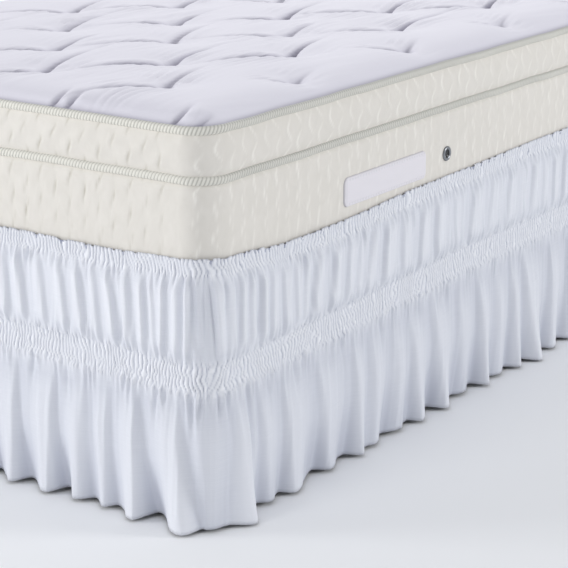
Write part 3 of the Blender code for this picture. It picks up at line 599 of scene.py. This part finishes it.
bed = {
    "width": 0.990, "length": 1.900, "corner": 0.050,
    "lowerTape": 0.510, "upperTape": 0.580, "tapeWidth": 0.0124, "groove": 0.0035, "proud": 0.0014,
    "gussetLow": 0.5102, "gussetHigh": 0.5797, "gussetFull": 0.5735, "puff": 0.0024,
    "borderLow": (0.392, 0.402), "borderHigh": (0.494, 0.502), "columns": 2350, "gussetRows": 16,
    "crown": 0.026, "shoulder": 0.022,
}


def bedRun(s, inset):
    # counterclockwise from the start of the left side: each arc turns the outward direction by s / radius,
    # and its centre moves along the straight runs between them
    radius = bed["corner"]
    arc = radius * np.pi / 2
    runs = (bed["length"] - 2 * radius, bed["width"] - 2 * radius) * 2
    travels = ((0, -1), (1, 0), (0, 1), (-1, 0))
    turn = np.pi + 0 * s
    centre = np.stack((0 * s - bed["width"] / 2 + radius, 0 * s + bed["length"] / 2 - radius), axis=-1)
    start = 0.0
    for run, travel in zip(runs, travels):
        centre = centre + np.clip(s - start, 0, run)[..., None] * np.array(travel)
        turn = turn + np.clip(s - start - run, 0, arc) / radius
        start += run + arc
    direction = np.stack((np.cos(turn), np.sin(turn)), axis=-1)
    return centre + (radius - inset)[..., None] * direction


bedRound = 2 * (bed["length"] + bed["width"] - 4 * bed["corner"]) + 2 * np.pi * bed["corner"]


def ring(name, heights, inset, material, slot, capped=False, ridge=None):
    # rows of a band round the bed; inset[row, column] runs inward from the bed's outline
    s = np.broadcast_to(np.linspace(0, bedRound, inset.shape[1]), inset.shape)
    points = np.concatenate((bedRun(s, inset), np.broadcast_to(heights, inset.shape)[..., None]), axis=-1)
    points[:, -1] = points[:, 0]
    uv = np.stack((s, points[..., 2]), axis=-1)
    return gridPiece(name, points, uv, material, flip=True, capped=capped, ridge=ridge)


ticking = {
    # furrow is the painted shade in the creases, crest the painted highlight on the scallops
    "colour": "#e6e2db", "shade": "#dcd8d0", "furrow": "#c3beb2", "crest": "#f6f3ec", "roughness": 0.7,
    "acrossPitch": 0.0271, "upPitch": 0.041, "creaseWidth": 0.0026, "creaseDepth": 0.0024, "bow": 0.0035,
    "waver": 0.003, "puff": 0.0010, "lineWidth": 0.0019, "paintedCreaseShade": -0.5, "figure": (0.020, 0.030),
    # on the long side, from this run on, raised scallops with painted highlight stand where the foot has
    # creases with painted shade
    "longSide": 2.79, "scallop": 0.011, "scallopRise": 0.4, "paintedScallopLight": 0.45,
}
leavesRound = round(bedRound / ticking["acrossPitch"] / 2) * 2


def leafRelief(s, z):
    # upright bowed creases in staggered rows, from a woven damask of leaves:
    # depth * bell(distance from the crease) * |cos(height)|^3, or ^1 on the long side, with a soft puff between
    pitch = bedRound / leavesRound
    up = z / ticking["upPitch"]
    relief, tone = 0 * s * z, 0.5 + 0 * s * z
    longSide = rampUp(s, ticking["longSide"] - 0.05, ticking["longSide"])
    for half in (0, 1):
        column = np.floor(s / (2 * pitch) + half / 2)
        middle = (column - half / 2 + 0.5) * 2 * pitch
        weight = np.abs(np.cos(np.pi * (up + 0.5 * half))) ** (3 - 2 * longSide)
        bow = ticking["bow"] * np.sin(2 * np.pi * (up + 0.5 * half)) * (1 - longSide)
        bow = bow + ticking["scallop"] * np.sin(np.pi * (up + 0.5 * half)) ** 2 * longSide
        away = s - middle - bow - ticking["waver"] * softNoise(s, z, 0.05, 0.03, 71 + half)
        away = np.where(np.abs(away) < pitch, away, pitch)
        strength = weight * (0.75 + 0.45 * softNoise(s, z, 0.05, 0.04, 73 + half))
        depth = ticking["creaseDepth"] * (1 - (1 + ticking["scallopRise"]) * longSide)
        relief = relief - depth * strength * bell(away, ticking["creaseWidth"])
        relief = relief + ticking["puff"] * weight * np.cos(np.pi * away / pitch) * (1 - longSide)
        # painted shade along the creases at the foot, painted highlight along the scallops on the long side
        line = ticking["paintedCreaseShade"] * (1 - longSide) + ticking["paintedScallopLight"] * longSide
        tone = tone + strength * bell(away, ticking["lineWidth"]) * line
    return relief, np.clip(tone, 0, 1)


def tickingMaterial():
    # stretch-knit damask ticking, ivory: tone on tone leaves, slightly smoother on the raised figure
    material = newMaterial("damaskTicking", ticking, Specular_IOR_Level=0.3)
    leaves = raisedPattern(material, "TexNoise", ticking["figure"], 0.35, 0.0012, Detail=1.5, Distortion=1.2)[0]
    tintThrough(material, ticking, leaves)
    return material


damask = tickingMaterial()
s = np.linspace(0, bedRound, bed["columns"])[None, :]
tapeTop = bed["lowerTape"] + bed["tapeWidth"] / 2

# core: rounded lower edge, flat border, then a small roll into the tape's groove
profile = np.array((
    (0.386, 0.008), (0.3862, 0.003), (0.3870, 0.0008), (0.389, 0.0), (0.404, -0.0004), (0.419, -0.0008),
    (0.430, -0.001), (0.441, -0.001), (0.452, -0.001), (0.463, -0.001), (0.474, -0.0008), (0.485, -0.0005),
    (0.494, -0.0002), (0.499, 0.0003), (0.502, 0.0015), (0.5042, 0.0033), (0.5098, 0.0035)))
z, inset = profile[:, :1], profile[:, 1:]
border = rampUp(z, *bed["borderLow"]) * (1 - rampUp(z, *bed["borderHigh"]))
leaves, corePaintedShading = leafRelief(s, z)
coreBorder = ring("coreBorder", z, inset - border * leaves, damask, "mattress_ticking", capped=True,
                  ridge=corePaintedShading)
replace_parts(coreBorder, "mattress_core")

# gusset of the pillow top, between the tapes, a little fuller in the middle
z = np.linspace(bed["gussetLow"], bed["gussetHigh"], bed["gussetRows"])[:, None]
full = np.sin(np.pi * np.clip((z - tapeTop) / (bed["gussetFull"] - tapeTop), 0, 1)) ** 0.6
leaves, gussetPaintedShading = leafRelief(s, z)
inset = bed["groove"] - full * (bed["groove"] + bed["puff"]) - full * leaves
gusset = ring("gusset", z, inset, damask, "mattress_ticking", ridge=gussetPaintedShading)
print("borders", (len(coreBorder.data.polygons) + len(gusset.data.polygons)) * 2, "triangles")

tape = {
    # furrow is painted shade between the ribs; grey is painted shade on the long side and along the upper edge
    "colour": "#ebe9e0", "furrow": "#c6c4bb", "grey": "#a9aaa6", "roughness": 0.6,
    "ribPitch": 0.0056, "ribHeight": 0.0016, "ribDrop": 0.0006, "lean": 0.9, "columnsPerRib": 4,
    "edgeSink": 0.0030, "edgeShade": 0.35, "longShade": 0.30,
    "wander": 0.0011, "wandersRound": 96, "joinRun": 0.10,
}
ribsRound = round(bedRound / tape["ribPitch"])


def tapeMaterial():
    # woven polyester binding tape with thick satin ribs; the furrows between ribs collect shade
    material = newMaterial("bindingTape", tape, Specular_IOR_Level=0.4)
    place = addNode(material, "SeparateXYZ", {"Vector": addNode(material, "UVMap", {}, uv_map="cloth")}).outputs
    turn = 2 * np.pi
    along = addNode(material, "Math", {0: place["X"], 1: turn * ribsRound / bedRound}, operation="MULTIPLY")
    leaned = addNode(material, "Math", {
        0: place["Y"], 1: -turn * tape["lean"] / bed["tapeWidth"], 2: along}, operation="MULTIPLY_ADD")
    wave = addNode(material, "Math", {0: leaned}, operation="COSINE")
    ridge = addNode(material, "MapRange", {"Value": wave, "From Min": -0.9, "From Max": 0.2})
    tint = addNode(material, "Mix", {
        "Factor": ridge, "A": linear(tape["furrow"]), "B": linear(tape["colour"])}, data_type="RGBA")
    # painted shade: the grey where the ridge attribute is low
    lit = addNode(material, "Attribute", {}, attribute_name="ridge").outputs["Fac"]
    shaded = addNode(material, "Mix", {"Factor": lit, "A": linear(tape["grey"]), "B": tint}, data_type="RGBA")
    feedShader(material, Base_Color=shaded)
    return material


bindingTape = tapeMaterial()


def ribbedTape(name, height, node):
    # outward = proud * rounded profile + ribs that lean forward by lean * width along the tape
    v = np.array((0.0, 0.06, 0.22, 0.5, 0.78, 0.94, 1.0))[:, None]
    s = np.linspace(0, bedRound, ribsRound * tape["columnsPerRib"] + 1)[None, :]
    body = 1 - np.abs(2 * v - 1) ** 5
    phase = s * ribsRound / bedRound - tape["lean"] * (height / bed["tapeWidth"] + v - 0.5)
    ribs = tape["ribHeight"] * (0.5 + 0.5 * np.cos(2 * np.pi * phase))
    out = body * (bed["proud"] - tape["ribDrop"] + ribs) - (1 - body) * tape["edgeSink"]
    # the tape wanders up and down a little, but not where its ends meet
    wander = tape["wander"] * softNoise(s, 0 * s + height, bedRound / tape["wandersRound"], 0.05, 62)
    wander = wander * rampUp(np.minimum(s, bedRound - s), 0, tape["joinRun"])
    z = height + (v - 0.5) * bed["tapeWidth"] + wander
    farEnd = ticking["longSide"] + bed["length"] - 2 * bed["corner"]
    longSide = rampUp(s, ticking["longSide"] - 0.02, ticking["longSide"] + 0.10)
    longSide = longSide * rampUp(-s, -farEnd - 0.05, -farEnd + 0.05)
    # painted shade: greyer along the long side and along the upper edge
    shade = 1 - tape["longShade"] * longSide - tape["edgeShade"] * rampUp(v, 0.80, 1.0) + 0 * out
    piece = ring(name, z, -out, bindingTape, "binding_tape", ridge=shade)
    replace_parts(piece, node)
    return piece


lowerTape = ribbedTape("lowerTape", bed["lowerTape"], "tape_lower")
upperTape = ribbedTape("upperTape", bed["upperTape"], "tape_upper")
print("tapes", len(lowerTape.data.polygons) * 4, "triangles")

# Tufted top: a grid fitted into the rounded outline

topCloth = {
    "colour": "#e5e3ec", "furrow": "#9c99a8", "roughness": 0.8, "columns": 262, "rows": 330,
    "crowding": (1.5, 1.35),      # how much closer the lines across and along the bed lie at the shown corner
    "rimHeight": 0.004, "rimRun": 0.012, "paintedRimShade": 0.55, "rimWidth": 0.0045, "fullDark": 0.0095,
    "swell": 0.0016, "swellCell": (0.07, 0.16),
    "fold": 0.0016, "foldCell": (0.0105, 0.120), "foldLean": 0.17, "patchCell": (0.10, 0.14),
}
tufts = {
    "firstRow": 0.144, "rowPitch": 0.158, "rows": 11, "inRow": 4, "spacing": 0.233, "sideMargin": 0.0635,
    "wideDepth": 0.0085, "wideRadius": 0.052, "narrowDepth": 0.0070, "narrowRadius": 0.014,
    "creaseWidth": 0.0070, "turn": 0.012, "wrinkleDepth": 0.0026, "wrinklePitch": 0.0150,
    "ridgeAside": 0.022, "ridgeWidth": 0.013, "wrinkleReach": 0.050,
    "tailAside": 0.018, "tailRidge": 0.011, "fanReach": 0.046,
    "calmSide": 0.10, "calm": (0.35, 0.6, 0.5),   # small tufts there: shares of length, depth and tail
    # where the painted shade lies beside the creases, and its strength in the fan wrinkles and the pits
    "lineAside": (0.0015, 0.0040), "lineWidth": (0.0038, 0.0036), "paintedFanShade": 0.0040,
    "paintedPitShade": 0.0040, "pitRadius": 0.008,
}
# drawn for each tuft in this order
tuftDraws = {"length": (0.078, 0.138), "lean": (0.05, 0.35), "depth": (0.0069, 0.01265), "tail": (0.056, 0.096),
             "tailLean": (0.45, 0.80)}
edgeNicks = (
    (0.436, -0.940), (0.471, -0.944), (0.220, -0.940), (0.247, -0.943), (-0.012, -0.940), (-0.235, -0.940))
nick = {
    "depth": 0.0100, "width": 0.0042, "run": 0.024, "sway": 0.002, "swayRun": 0.012,
    "puff": 0.0040, "puffAside": 0.016, "puffWidth": 0.010, "puffRun": 0.028,
    # painted shade along each nick
    "dark": 0.012, "darkWidth": 0.0036, "darkRun": 0.020,
}


def tuftPlaces():
    # rows from the foot, the first and every second after it moved by half a spacing
    places = []
    for row in range(tufts["rows"]):
        y = -bed["length"] / 2 + tufts["firstRow"] + tufts["rowPitch"] * row
        margin = tufts["sideMargin"] + tufts["spacing"] / 2 * ((row + 1) % 2)
        places += [(bed["width"] / 2 - margin - tufts["spacing"] * k, y) for k in range(tufts["inRow"])]
    return places


def tuftedHeight(x, y, edge):
    # crown - dimples - a long crease towards the head and a short one back and aside, each with a ridge at its
    # side and fine wrinkles beside it; dark is the painted shade of the creases, the fan wrinkles and the pits
    crown = bed["crown"] * (1 - np.exp(-edge / bed["shoulder"]))
    away = np.clip(edge / bed["shoulder"], 0, 1)
    draw = np.random.RandomState(5)
    width, pitch, deep = tufts["creaseWidth"], tufts["wrinklePitch"], tufts["wrinkleDepth"]
    (lineA, lineB), (lineWidthA, lineWidthB) = tufts["lineAside"], tufts["lineWidth"]
    sway = 0.3 * softNoise(x, y, 0.03, 0.09, 57)
    patches = 0.6 + 0.8 * softNoise(x, y, 0.03, 0.06, 58)
    fanSway = 0.4 * softNoise(x, y, 0.03, 0.08, 56)
    fanPatches = 0.6 + 0.6 * softNoise(x, y, 0.03, 0.07, 59)
    sunk, dark = 0 * x, 0 * x
    for tuftX, tuftY in tuftPlaces():
        length, lean, depth, tail, tailLean = (draw.uniform(*span) for span in tuftDraws.values())
        if tuftX > bed["width"] / 2 - tufts["calmSide"]:
            length, depth, tail = np.array((length, depth, tail)) * tufts["calm"]
        v, u = x - tuftX, y - tuftY
        r, ahead, behind = np.hypot(v, u), np.clip(u, 0, None), np.clip(-u, 0, None)
        sunk = sunk + tufts["wideDepth"] * bell(r, tufts["wideRadius"])
        sunk = sunk + tufts["narrowDepth"] * bell(r, tufts["narrowRadius"])
        side = v + 0.55 * lean * ahead ** 0.8
        forward = rampUp(u, -tufts["turn"], tufts["turn"]) * bell(ahead, length)
        ridge = 0.35 * bell(side - tufts["ridgeAside"], tufts["ridgeWidth"])
        sunk = sunk + depth * forward * (bell(side, width) - ridge)
        wave = np.cos(2 * np.pi * (side / pitch * (1 - 1.2 * np.clip(u, 0, 0.3)) + sway))
        wrinkles = wave * bell(side, tufts["wrinkleReach"]) * patches
        sunk = sunk + deep * wrinkles * forward * rampUp(u, 0.005, 0.03)
        across = v + tailLean * behind
        back = rampUp(-u, -tufts["turn"], tufts["turn"]) * bell(behind, tail)
        ridge = 0.25 * bell(across + tufts["tailAside"], tufts["tailRidge"])
        sunk = sunk + depth * back * (0.55 * bell(across, width) - ridge)
        # straight wrinkles towards the foot, between the tail and the line of the tuft
        fan = bell(v + 0.2 * behind, tufts["fanReach"]) * rampUp(-u, 0.010, 0.035)
        folded = fan * bell(behind, 1.3 * tail) * fanPatches * np.cos(2 * np.pi * (v / pitch + fanSway))
        sunk = sunk + deep * folded
        # painted shade along the creases, in the fan wrinkles and in each tuft's pit
        dark = dark + depth * forward * bell(side + lineA, lineWidthA)
        dark = dark + 1.1 * depth * back * bell(across + lineB, lineWidthB)
        dark = dark + tufts["paintedFanShade"] * np.clip(folded, 0, 1) + tufts["paintedPitShade"] * bell(r, tufts["pitRadius"])
    return crown - sunk * away, dark


def nickedEdge(x, y):
    # short creases that run from the edge seam towards the head, with a small puff between them and painted
    # shade along each crease
    sunk, dark = 0 * x, 0 * x
    for nickX, nickY in edgeNicks:
        ahead = np.clip(y - nickY, 0, None)
        side = x - nickX - nick["sway"] * np.sin((y - nickY) / nick["swayRun"])
        sunk = sunk + nick["depth"] * bell(side, nick["width"]) * bell(ahead, nick["run"])
        puff = bell(side - nick["puffAside"], nick["puffWidth"]) * bell(y - nickY, nick["puffRun"])
        sunk = sunk - nick["puff"] * puff
        dark = dark + nick["dark"] * bell(side, nick["darkWidth"]) * bell(ahead, nick["darkRun"])
    return sunk, dark


def topSurface():
    # lines are closest at the shown corner; each line across is fitted into the rounded outline
    def lines(count, size, power):
        return size * (np.linspace(0, 1, count) ** power - 0.5)
    crowdX, crowdY = topCloth["crowding"]
    x, y = np.meshgrid(-lines(topCloth["columns"], bed["width"], crowdX)[::-1],
                       lines(topCloth["rows"], bed["length"], crowdY))
    radius = bed["corner"] - bed["groove"]
    straightX, straightY = bed["width"] / 2 - bed["corner"], bed["length"] / 2 - bed["corner"]
    intoArc = np.clip(np.abs(y) - straightY, 0, None) * radius / bed["corner"]
    half = straightX + np.sqrt(np.clip(radius ** 2 - intoArc ** 2, 0, None))
    x = x / (bed["width"] / 2) * half
    y = np.sign(y) * (np.minimum(np.abs(y), straightY) + intoArc)
    edge = np.clip(np.minimum(half - np.abs(x), straightY + radius - np.abs(y)), 0, None)
    tufted, dark = tuftedHeight(x, y, edge)
    nicked, nickDark = nickedEdge(x, y)
    # broad swells, and lengthwise wrinkles in patches, less of them towards the right side
    swell = topCloth["swell"] * softNoise(x, y, *topCloth["swellCell"], 51)
    patches = rampUp(softNoise(x, y, *topCloth["patchCell"], 53), -0.5, 0.6) * (1 - 0.7 * rampUp(x, 0.25, 0.45))
    folds = topCloth["fold"] * softNoise(x - topCloth["foldLean"] * y, y, *topCloth["foldCell"], 52) * patches
    rise = np.clip(edge / topCloth["rimRun"], 0, 1)
    z = bed["upperTape"] + topCloth["rimHeight"] + tufted + (swell + folds - nicked) * rise
    # painted shade in the creases and along the seam at the rim
    rim = topCloth["paintedRimShade"] * bell(edge, topCloth["rimWidth"])
    bright = 1 - (dark + nickDark) / topCloth["fullDark"] - rim
    return np.stack((x, y, z), axis=-1), np.stack((x, y), axis=-1), np.clip(bright, 0, 1)


def topMaterial():
    # white knitted ticking of a pillow top: fine rows of stitches, drawn 2.4 mm apart where real ones are 1 mm
    material = newMaterial("knittedTop", topCloth, Sheen_Weight=0.1, Specular_IOR_Level=0.25)
    raisedPattern(material, "TexVoronoi", (0.009, 0.0024), 0.25, 0.0005)
    # the furrow colour paints shade in the creases and along the rim
    tintByRidge(material, topCloth["furrow"], topCloth["colour"])
    return material


points, uv, bright = topSurface()
tuftedTop = gridPiece("tuftedTop", points, uv, topMaterial(), ridge=bright)
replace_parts(tuftedTop, "pillow_top")
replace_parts(gusset, "pillow_top")
print("top", len(tuftedTop.data.polygons) * 2, "triangles")

# Handle: a patch sewn on the right side, with a stitched groove inside its edge

handle = {
    "fromFoot": 0.335, "length": 0.240, "bottom": 0.408, "height": 0.047, "thickness": 0.003, "corner": 0.012,
    "edgeRound": 0.0016, "proud": 0.0012, "rimSink": 0.0020, "rimWidth": 0.0008, "unevenness": 0.0005,
    "stitchInset": 0.005, "stitchDepth": 0.0012, "stitchWidth": 0.0012, "stitchPitch": 0.0075,
    "stitchThread": 0.0014, "seamWidth": 0.0012, "paintedSeamShade": 0.9, "faintSeam": 0.3, "stitchTone": 0.16,
    "colour": "#e6e3e8", "seam": "#8f8c90", "roughness": 0.75,
}


def handlePatch():
    # rounded rectangle: height = thickness * (1 - exp(-(edge / round)^1.5)) - a groove at the stitching
    a, b = np.meshgrid(np.linspace(-1, 1, 121), np.linspace(-1, 1, 33))
    halfLength, halfHeight, corner = handle["length"] / 2, handle["height"] / 2, handle["corner"]
    intoArc = np.clip(np.abs(b) * halfHeight - (halfHeight - corner), 0, None)
    half = halfLength - corner + np.sqrt(np.clip(corner ** 2 - intoArc ** 2, 0, None))
    along, up = a * half, b * halfHeight
    edge = np.clip(np.minimum(half - np.abs(along), halfHeight - np.abs(up)), 0, None)
    inset = edge - handle["stitchInset"]
    out = handle["thickness"] * (1 - np.exp(-(edge / handle["edgeRound"]) ** 1.5))
    out = out - handle["stitchDepth"] * bell(inset, handle["stitchWidth"])
    out = out + handle["unevenness"] * softNoise(along, up, 0.05, 0.012, 61) * np.clip(edge / 0.006, 0, 1)
    out = out - handle["rimSink"] * bell(edge, handle["rimWidth"])   # its rim sinks into the ticking
    x = bed["width"] / 2 + handle["proud"] + out
    y = -bed["length"] / 2 + handle["fromFoot"] + halfLength + along
    z = handle["bottom"] + halfHeight + up
    # painted shade darkens the seam along the upper and the foot edge and faintly elsewhere, with dark stitches
    # inside it
    shown = np.where((up > 0) | (along < -0.9 * halfLength), 1.0, handle["faintSeam"])
    dark = handle["paintedSeamShade"] * shown * bell(edge, handle["seamWidth"])
    stitches = rampUp(np.cos(2 * np.pi * along / handle["stitchPitch"]), -0.2, 0.5)
    dark = dark + handle["stitchTone"] * stitches * bell(inset, handle["stitchThread"])
    return gridPiece("handlePatch", np.stack((x, y, z), axis=-1), np.stack((along, up), axis=-1),
                     handleMaterial(), ridge=np.clip(1 - dark, 0, 1))


def handleMaterial():
    # woven tape of the handle, off-white, with faint lengthwise ribs
    material = newMaterial("handleWebbing", handle, Specular_IOR_Level=0.3)
    raisedPattern(material, "TexNoise", (0.125, 0.003), 0.3, 0.0006)
    # the seam colour paints shade along the rim and marks the stitches
    tintByRidge(material, handle["seam"], handle["colour"])
    return material


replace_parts(handlePatch(), "side_handle")

# Air vent: turned eyelet with a near-black disc in its hole, painted shade for the dark inside

vent = {
    "fromFoot": 0.642, "height": 0.436, "proud": 0.0016,
    # inside: the near-black painted shade of the hole
    "colour": "#8d9094", "roughness": 0.28, "inside": "#101112",
    # radius and distance out, from the rim in to the disc
    "turned": ((0.0120, -0.0016), (0.0120, 0.0010), (0.0114, 0.0019), (0.0100, 0.0025), (0.0086, 0.0024),
               (0.0073, 0.0017), (0.0066, 0.0008), (0.0063, 0.0003)),
}


def ventMaterial():
    # nickel-plated steel eyelet; the disc inside is nearly black, a painted shade of the hole
    material = newMaterial("nickelEyelet", vent, Metallic=1.0)
    across = addNode(material, "SeparateXYZ", {"Vector": addNode(material, "UVMap", {}, uv_map="cloth")})
    inside = addNode(material, "Math", {0: across.outputs["Y"], 1: 0.8}, operation="GREATER_THAN")
    tint = addNode(material, "Mix", {
        "Factor": inside, "A": linear(vent["colour"]), "B": linear(vent["inside"])}, data_type="RGBA")
    shine = addNode(material, "Math", {0: 1.0, 1: inside}, operation="SUBTRACT")
    feedShader(material, Base_Color=tint, Metallic=shine)
    return material


radius, out = np.array(vent["turned"]).T[:, :, None]
angle = np.linspace(0, 2 * np.pi, 49)[None, :]
angle[0, -1] = 0.0
x = bed["width"] / 2 + vent["proud"] + out + 0 * angle
y = -bed["length"] / 2 + vent["fromFoot"] + radius * np.cos(angle)
z = vent["height"] + radius * np.sin(angle)
share = np.linspace(0, 1, len(radius))[:, None] + 0 * angle   # 0 at the rim, 1 at the disc
eyelet = gridPiece("airVent", np.stack((x, y, z), axis=-1), np.stack((angle + 0 * share, share), axis=-1),
                   ventMaterial(), capped=True)
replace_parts(eyelet, "air_vent")

# Base and feet keep their solids and get their materials

baseCover = {"colour": "#cfccc4", "roughness": 0.85}
feet = {"colour": "#26262a", "roughness": 0.5}


def grained(name, finish, scale, strength, distance):
    # one colour with an even fine grain
    material = newMaterial(name, finish)
    place = addNode(material, "TexCoord", {}).outputs["Object"]
    grain = addNode(material, "TexNoise", {"Vector": place, "Scale": scale})
    feedShader(material, Normal=addNode(material, "Bump", {
        "Height": grain, "Strength": strength, "Distance": distance}))
    return material


# plain woven cover of the divan base, and moulded black polypropylene feet
wovenCover = grained("baseCover", baseCover, 600.0, 0.3, 0.0005)
mouldedFeet = grained("mouldedFeet", feet, 900.0, 0.15, 0.0002)
bpy.data.objects["bed_base"].material_slots[0].material = wovenCover
for number in range(1, 7):
    bpy.data.objects[f"bed_foot_{number}"].material_slots[0].material = mouldedFeet

# Camera at the photograph's height and angle

view = {"place": (2.00745, -2.97019, 1.11761), "azimuth": 34.49, "elevation": 16.46, "lens": 122.58}
camera = newObject("camera", bpy.data.cameras.new("camera"))
camera.data.lens = view["lens"]
camera.data.clip_end = 50
camera.location = view["place"]
camera.rotation_euler = np.radians((90 - view["elevation"], 0, view["azimuth"]))
bpy.context.scene.camera = camera

# Pale floor and soft studio light

studio = {
    "floor": {"colour": "#f6f7f9", "roughness": 0.9}, "halfFloor": 8.0, "floorDrop": 0.0005,
    "sky": "#f3f5f9", "skyStrength": 0.62,
}
floorMesh = bpy.data.meshes.new("floor")
floorMesh.from_pydata([(studio["halfFloor"] * a, studio["halfFloor"] * b, 0)
                       for a, b in ((-1, -1), (1, -1), (1, 1), (-1, 1))], [], [(0, 1, 2, 3)])
floorMesh.materials.append(newMaterial("paleFloor", studio["floor"]))
floor = newObject("floor", floorMesh)
floor.location.z = -studio["floorDrop"]

lights = {
    "leftSoft": {"place": (-3.7, -3.8, 1.7), "aim": (0.0, -0.9, 0.25), "size": 1.8, "power": 86},
    "rightSoft": {"place": (6.5, 3.0, 2.8), "aim": (0.5, -0.3, 0.25), "size": 2.2, "power": 166},
    "frontFill": {"place": (-0.4, -5.2, 2.2), "aim": (0.2, -0.8, 0.3), "size": 1.8, "power": 37},
    "backSoft": {"place": (-2.4, 4.0, 3.2), "aim": (0.0, 0.0, 0.60), "size": 1.0, "power": 105},
}
for name, light in lights.items():
    lamp = newObject(name, bpy.data.lights.new(name, "AREA"))
    lamp.data.shape = "DISK"
    lamp.data.size = light["size"]
    lamp.data.energy = light["power"]
    lamp.location = light["place"]
    # local -Z along the line from place to aim
    x, y, z = np.array(light["place"]) - light["aim"]
    lamp.rotation_euler = (np.arctan2(np.hypot(x, y), z), 0, np.arctan2(x, -y))

world = bpy.data.worlds.new("studio")
world.use_nodes = True
sky = world.node_tree.nodes["Background"]
sky.inputs["Color"].default_value = linear(studio["sky"])
sky.inputs["Strength"].default_value = studio["skyStrength"]
bpy.context.scene.world = world
bpy.context.scene.view_settings.view_transform = "Standard"   # keeps whites white
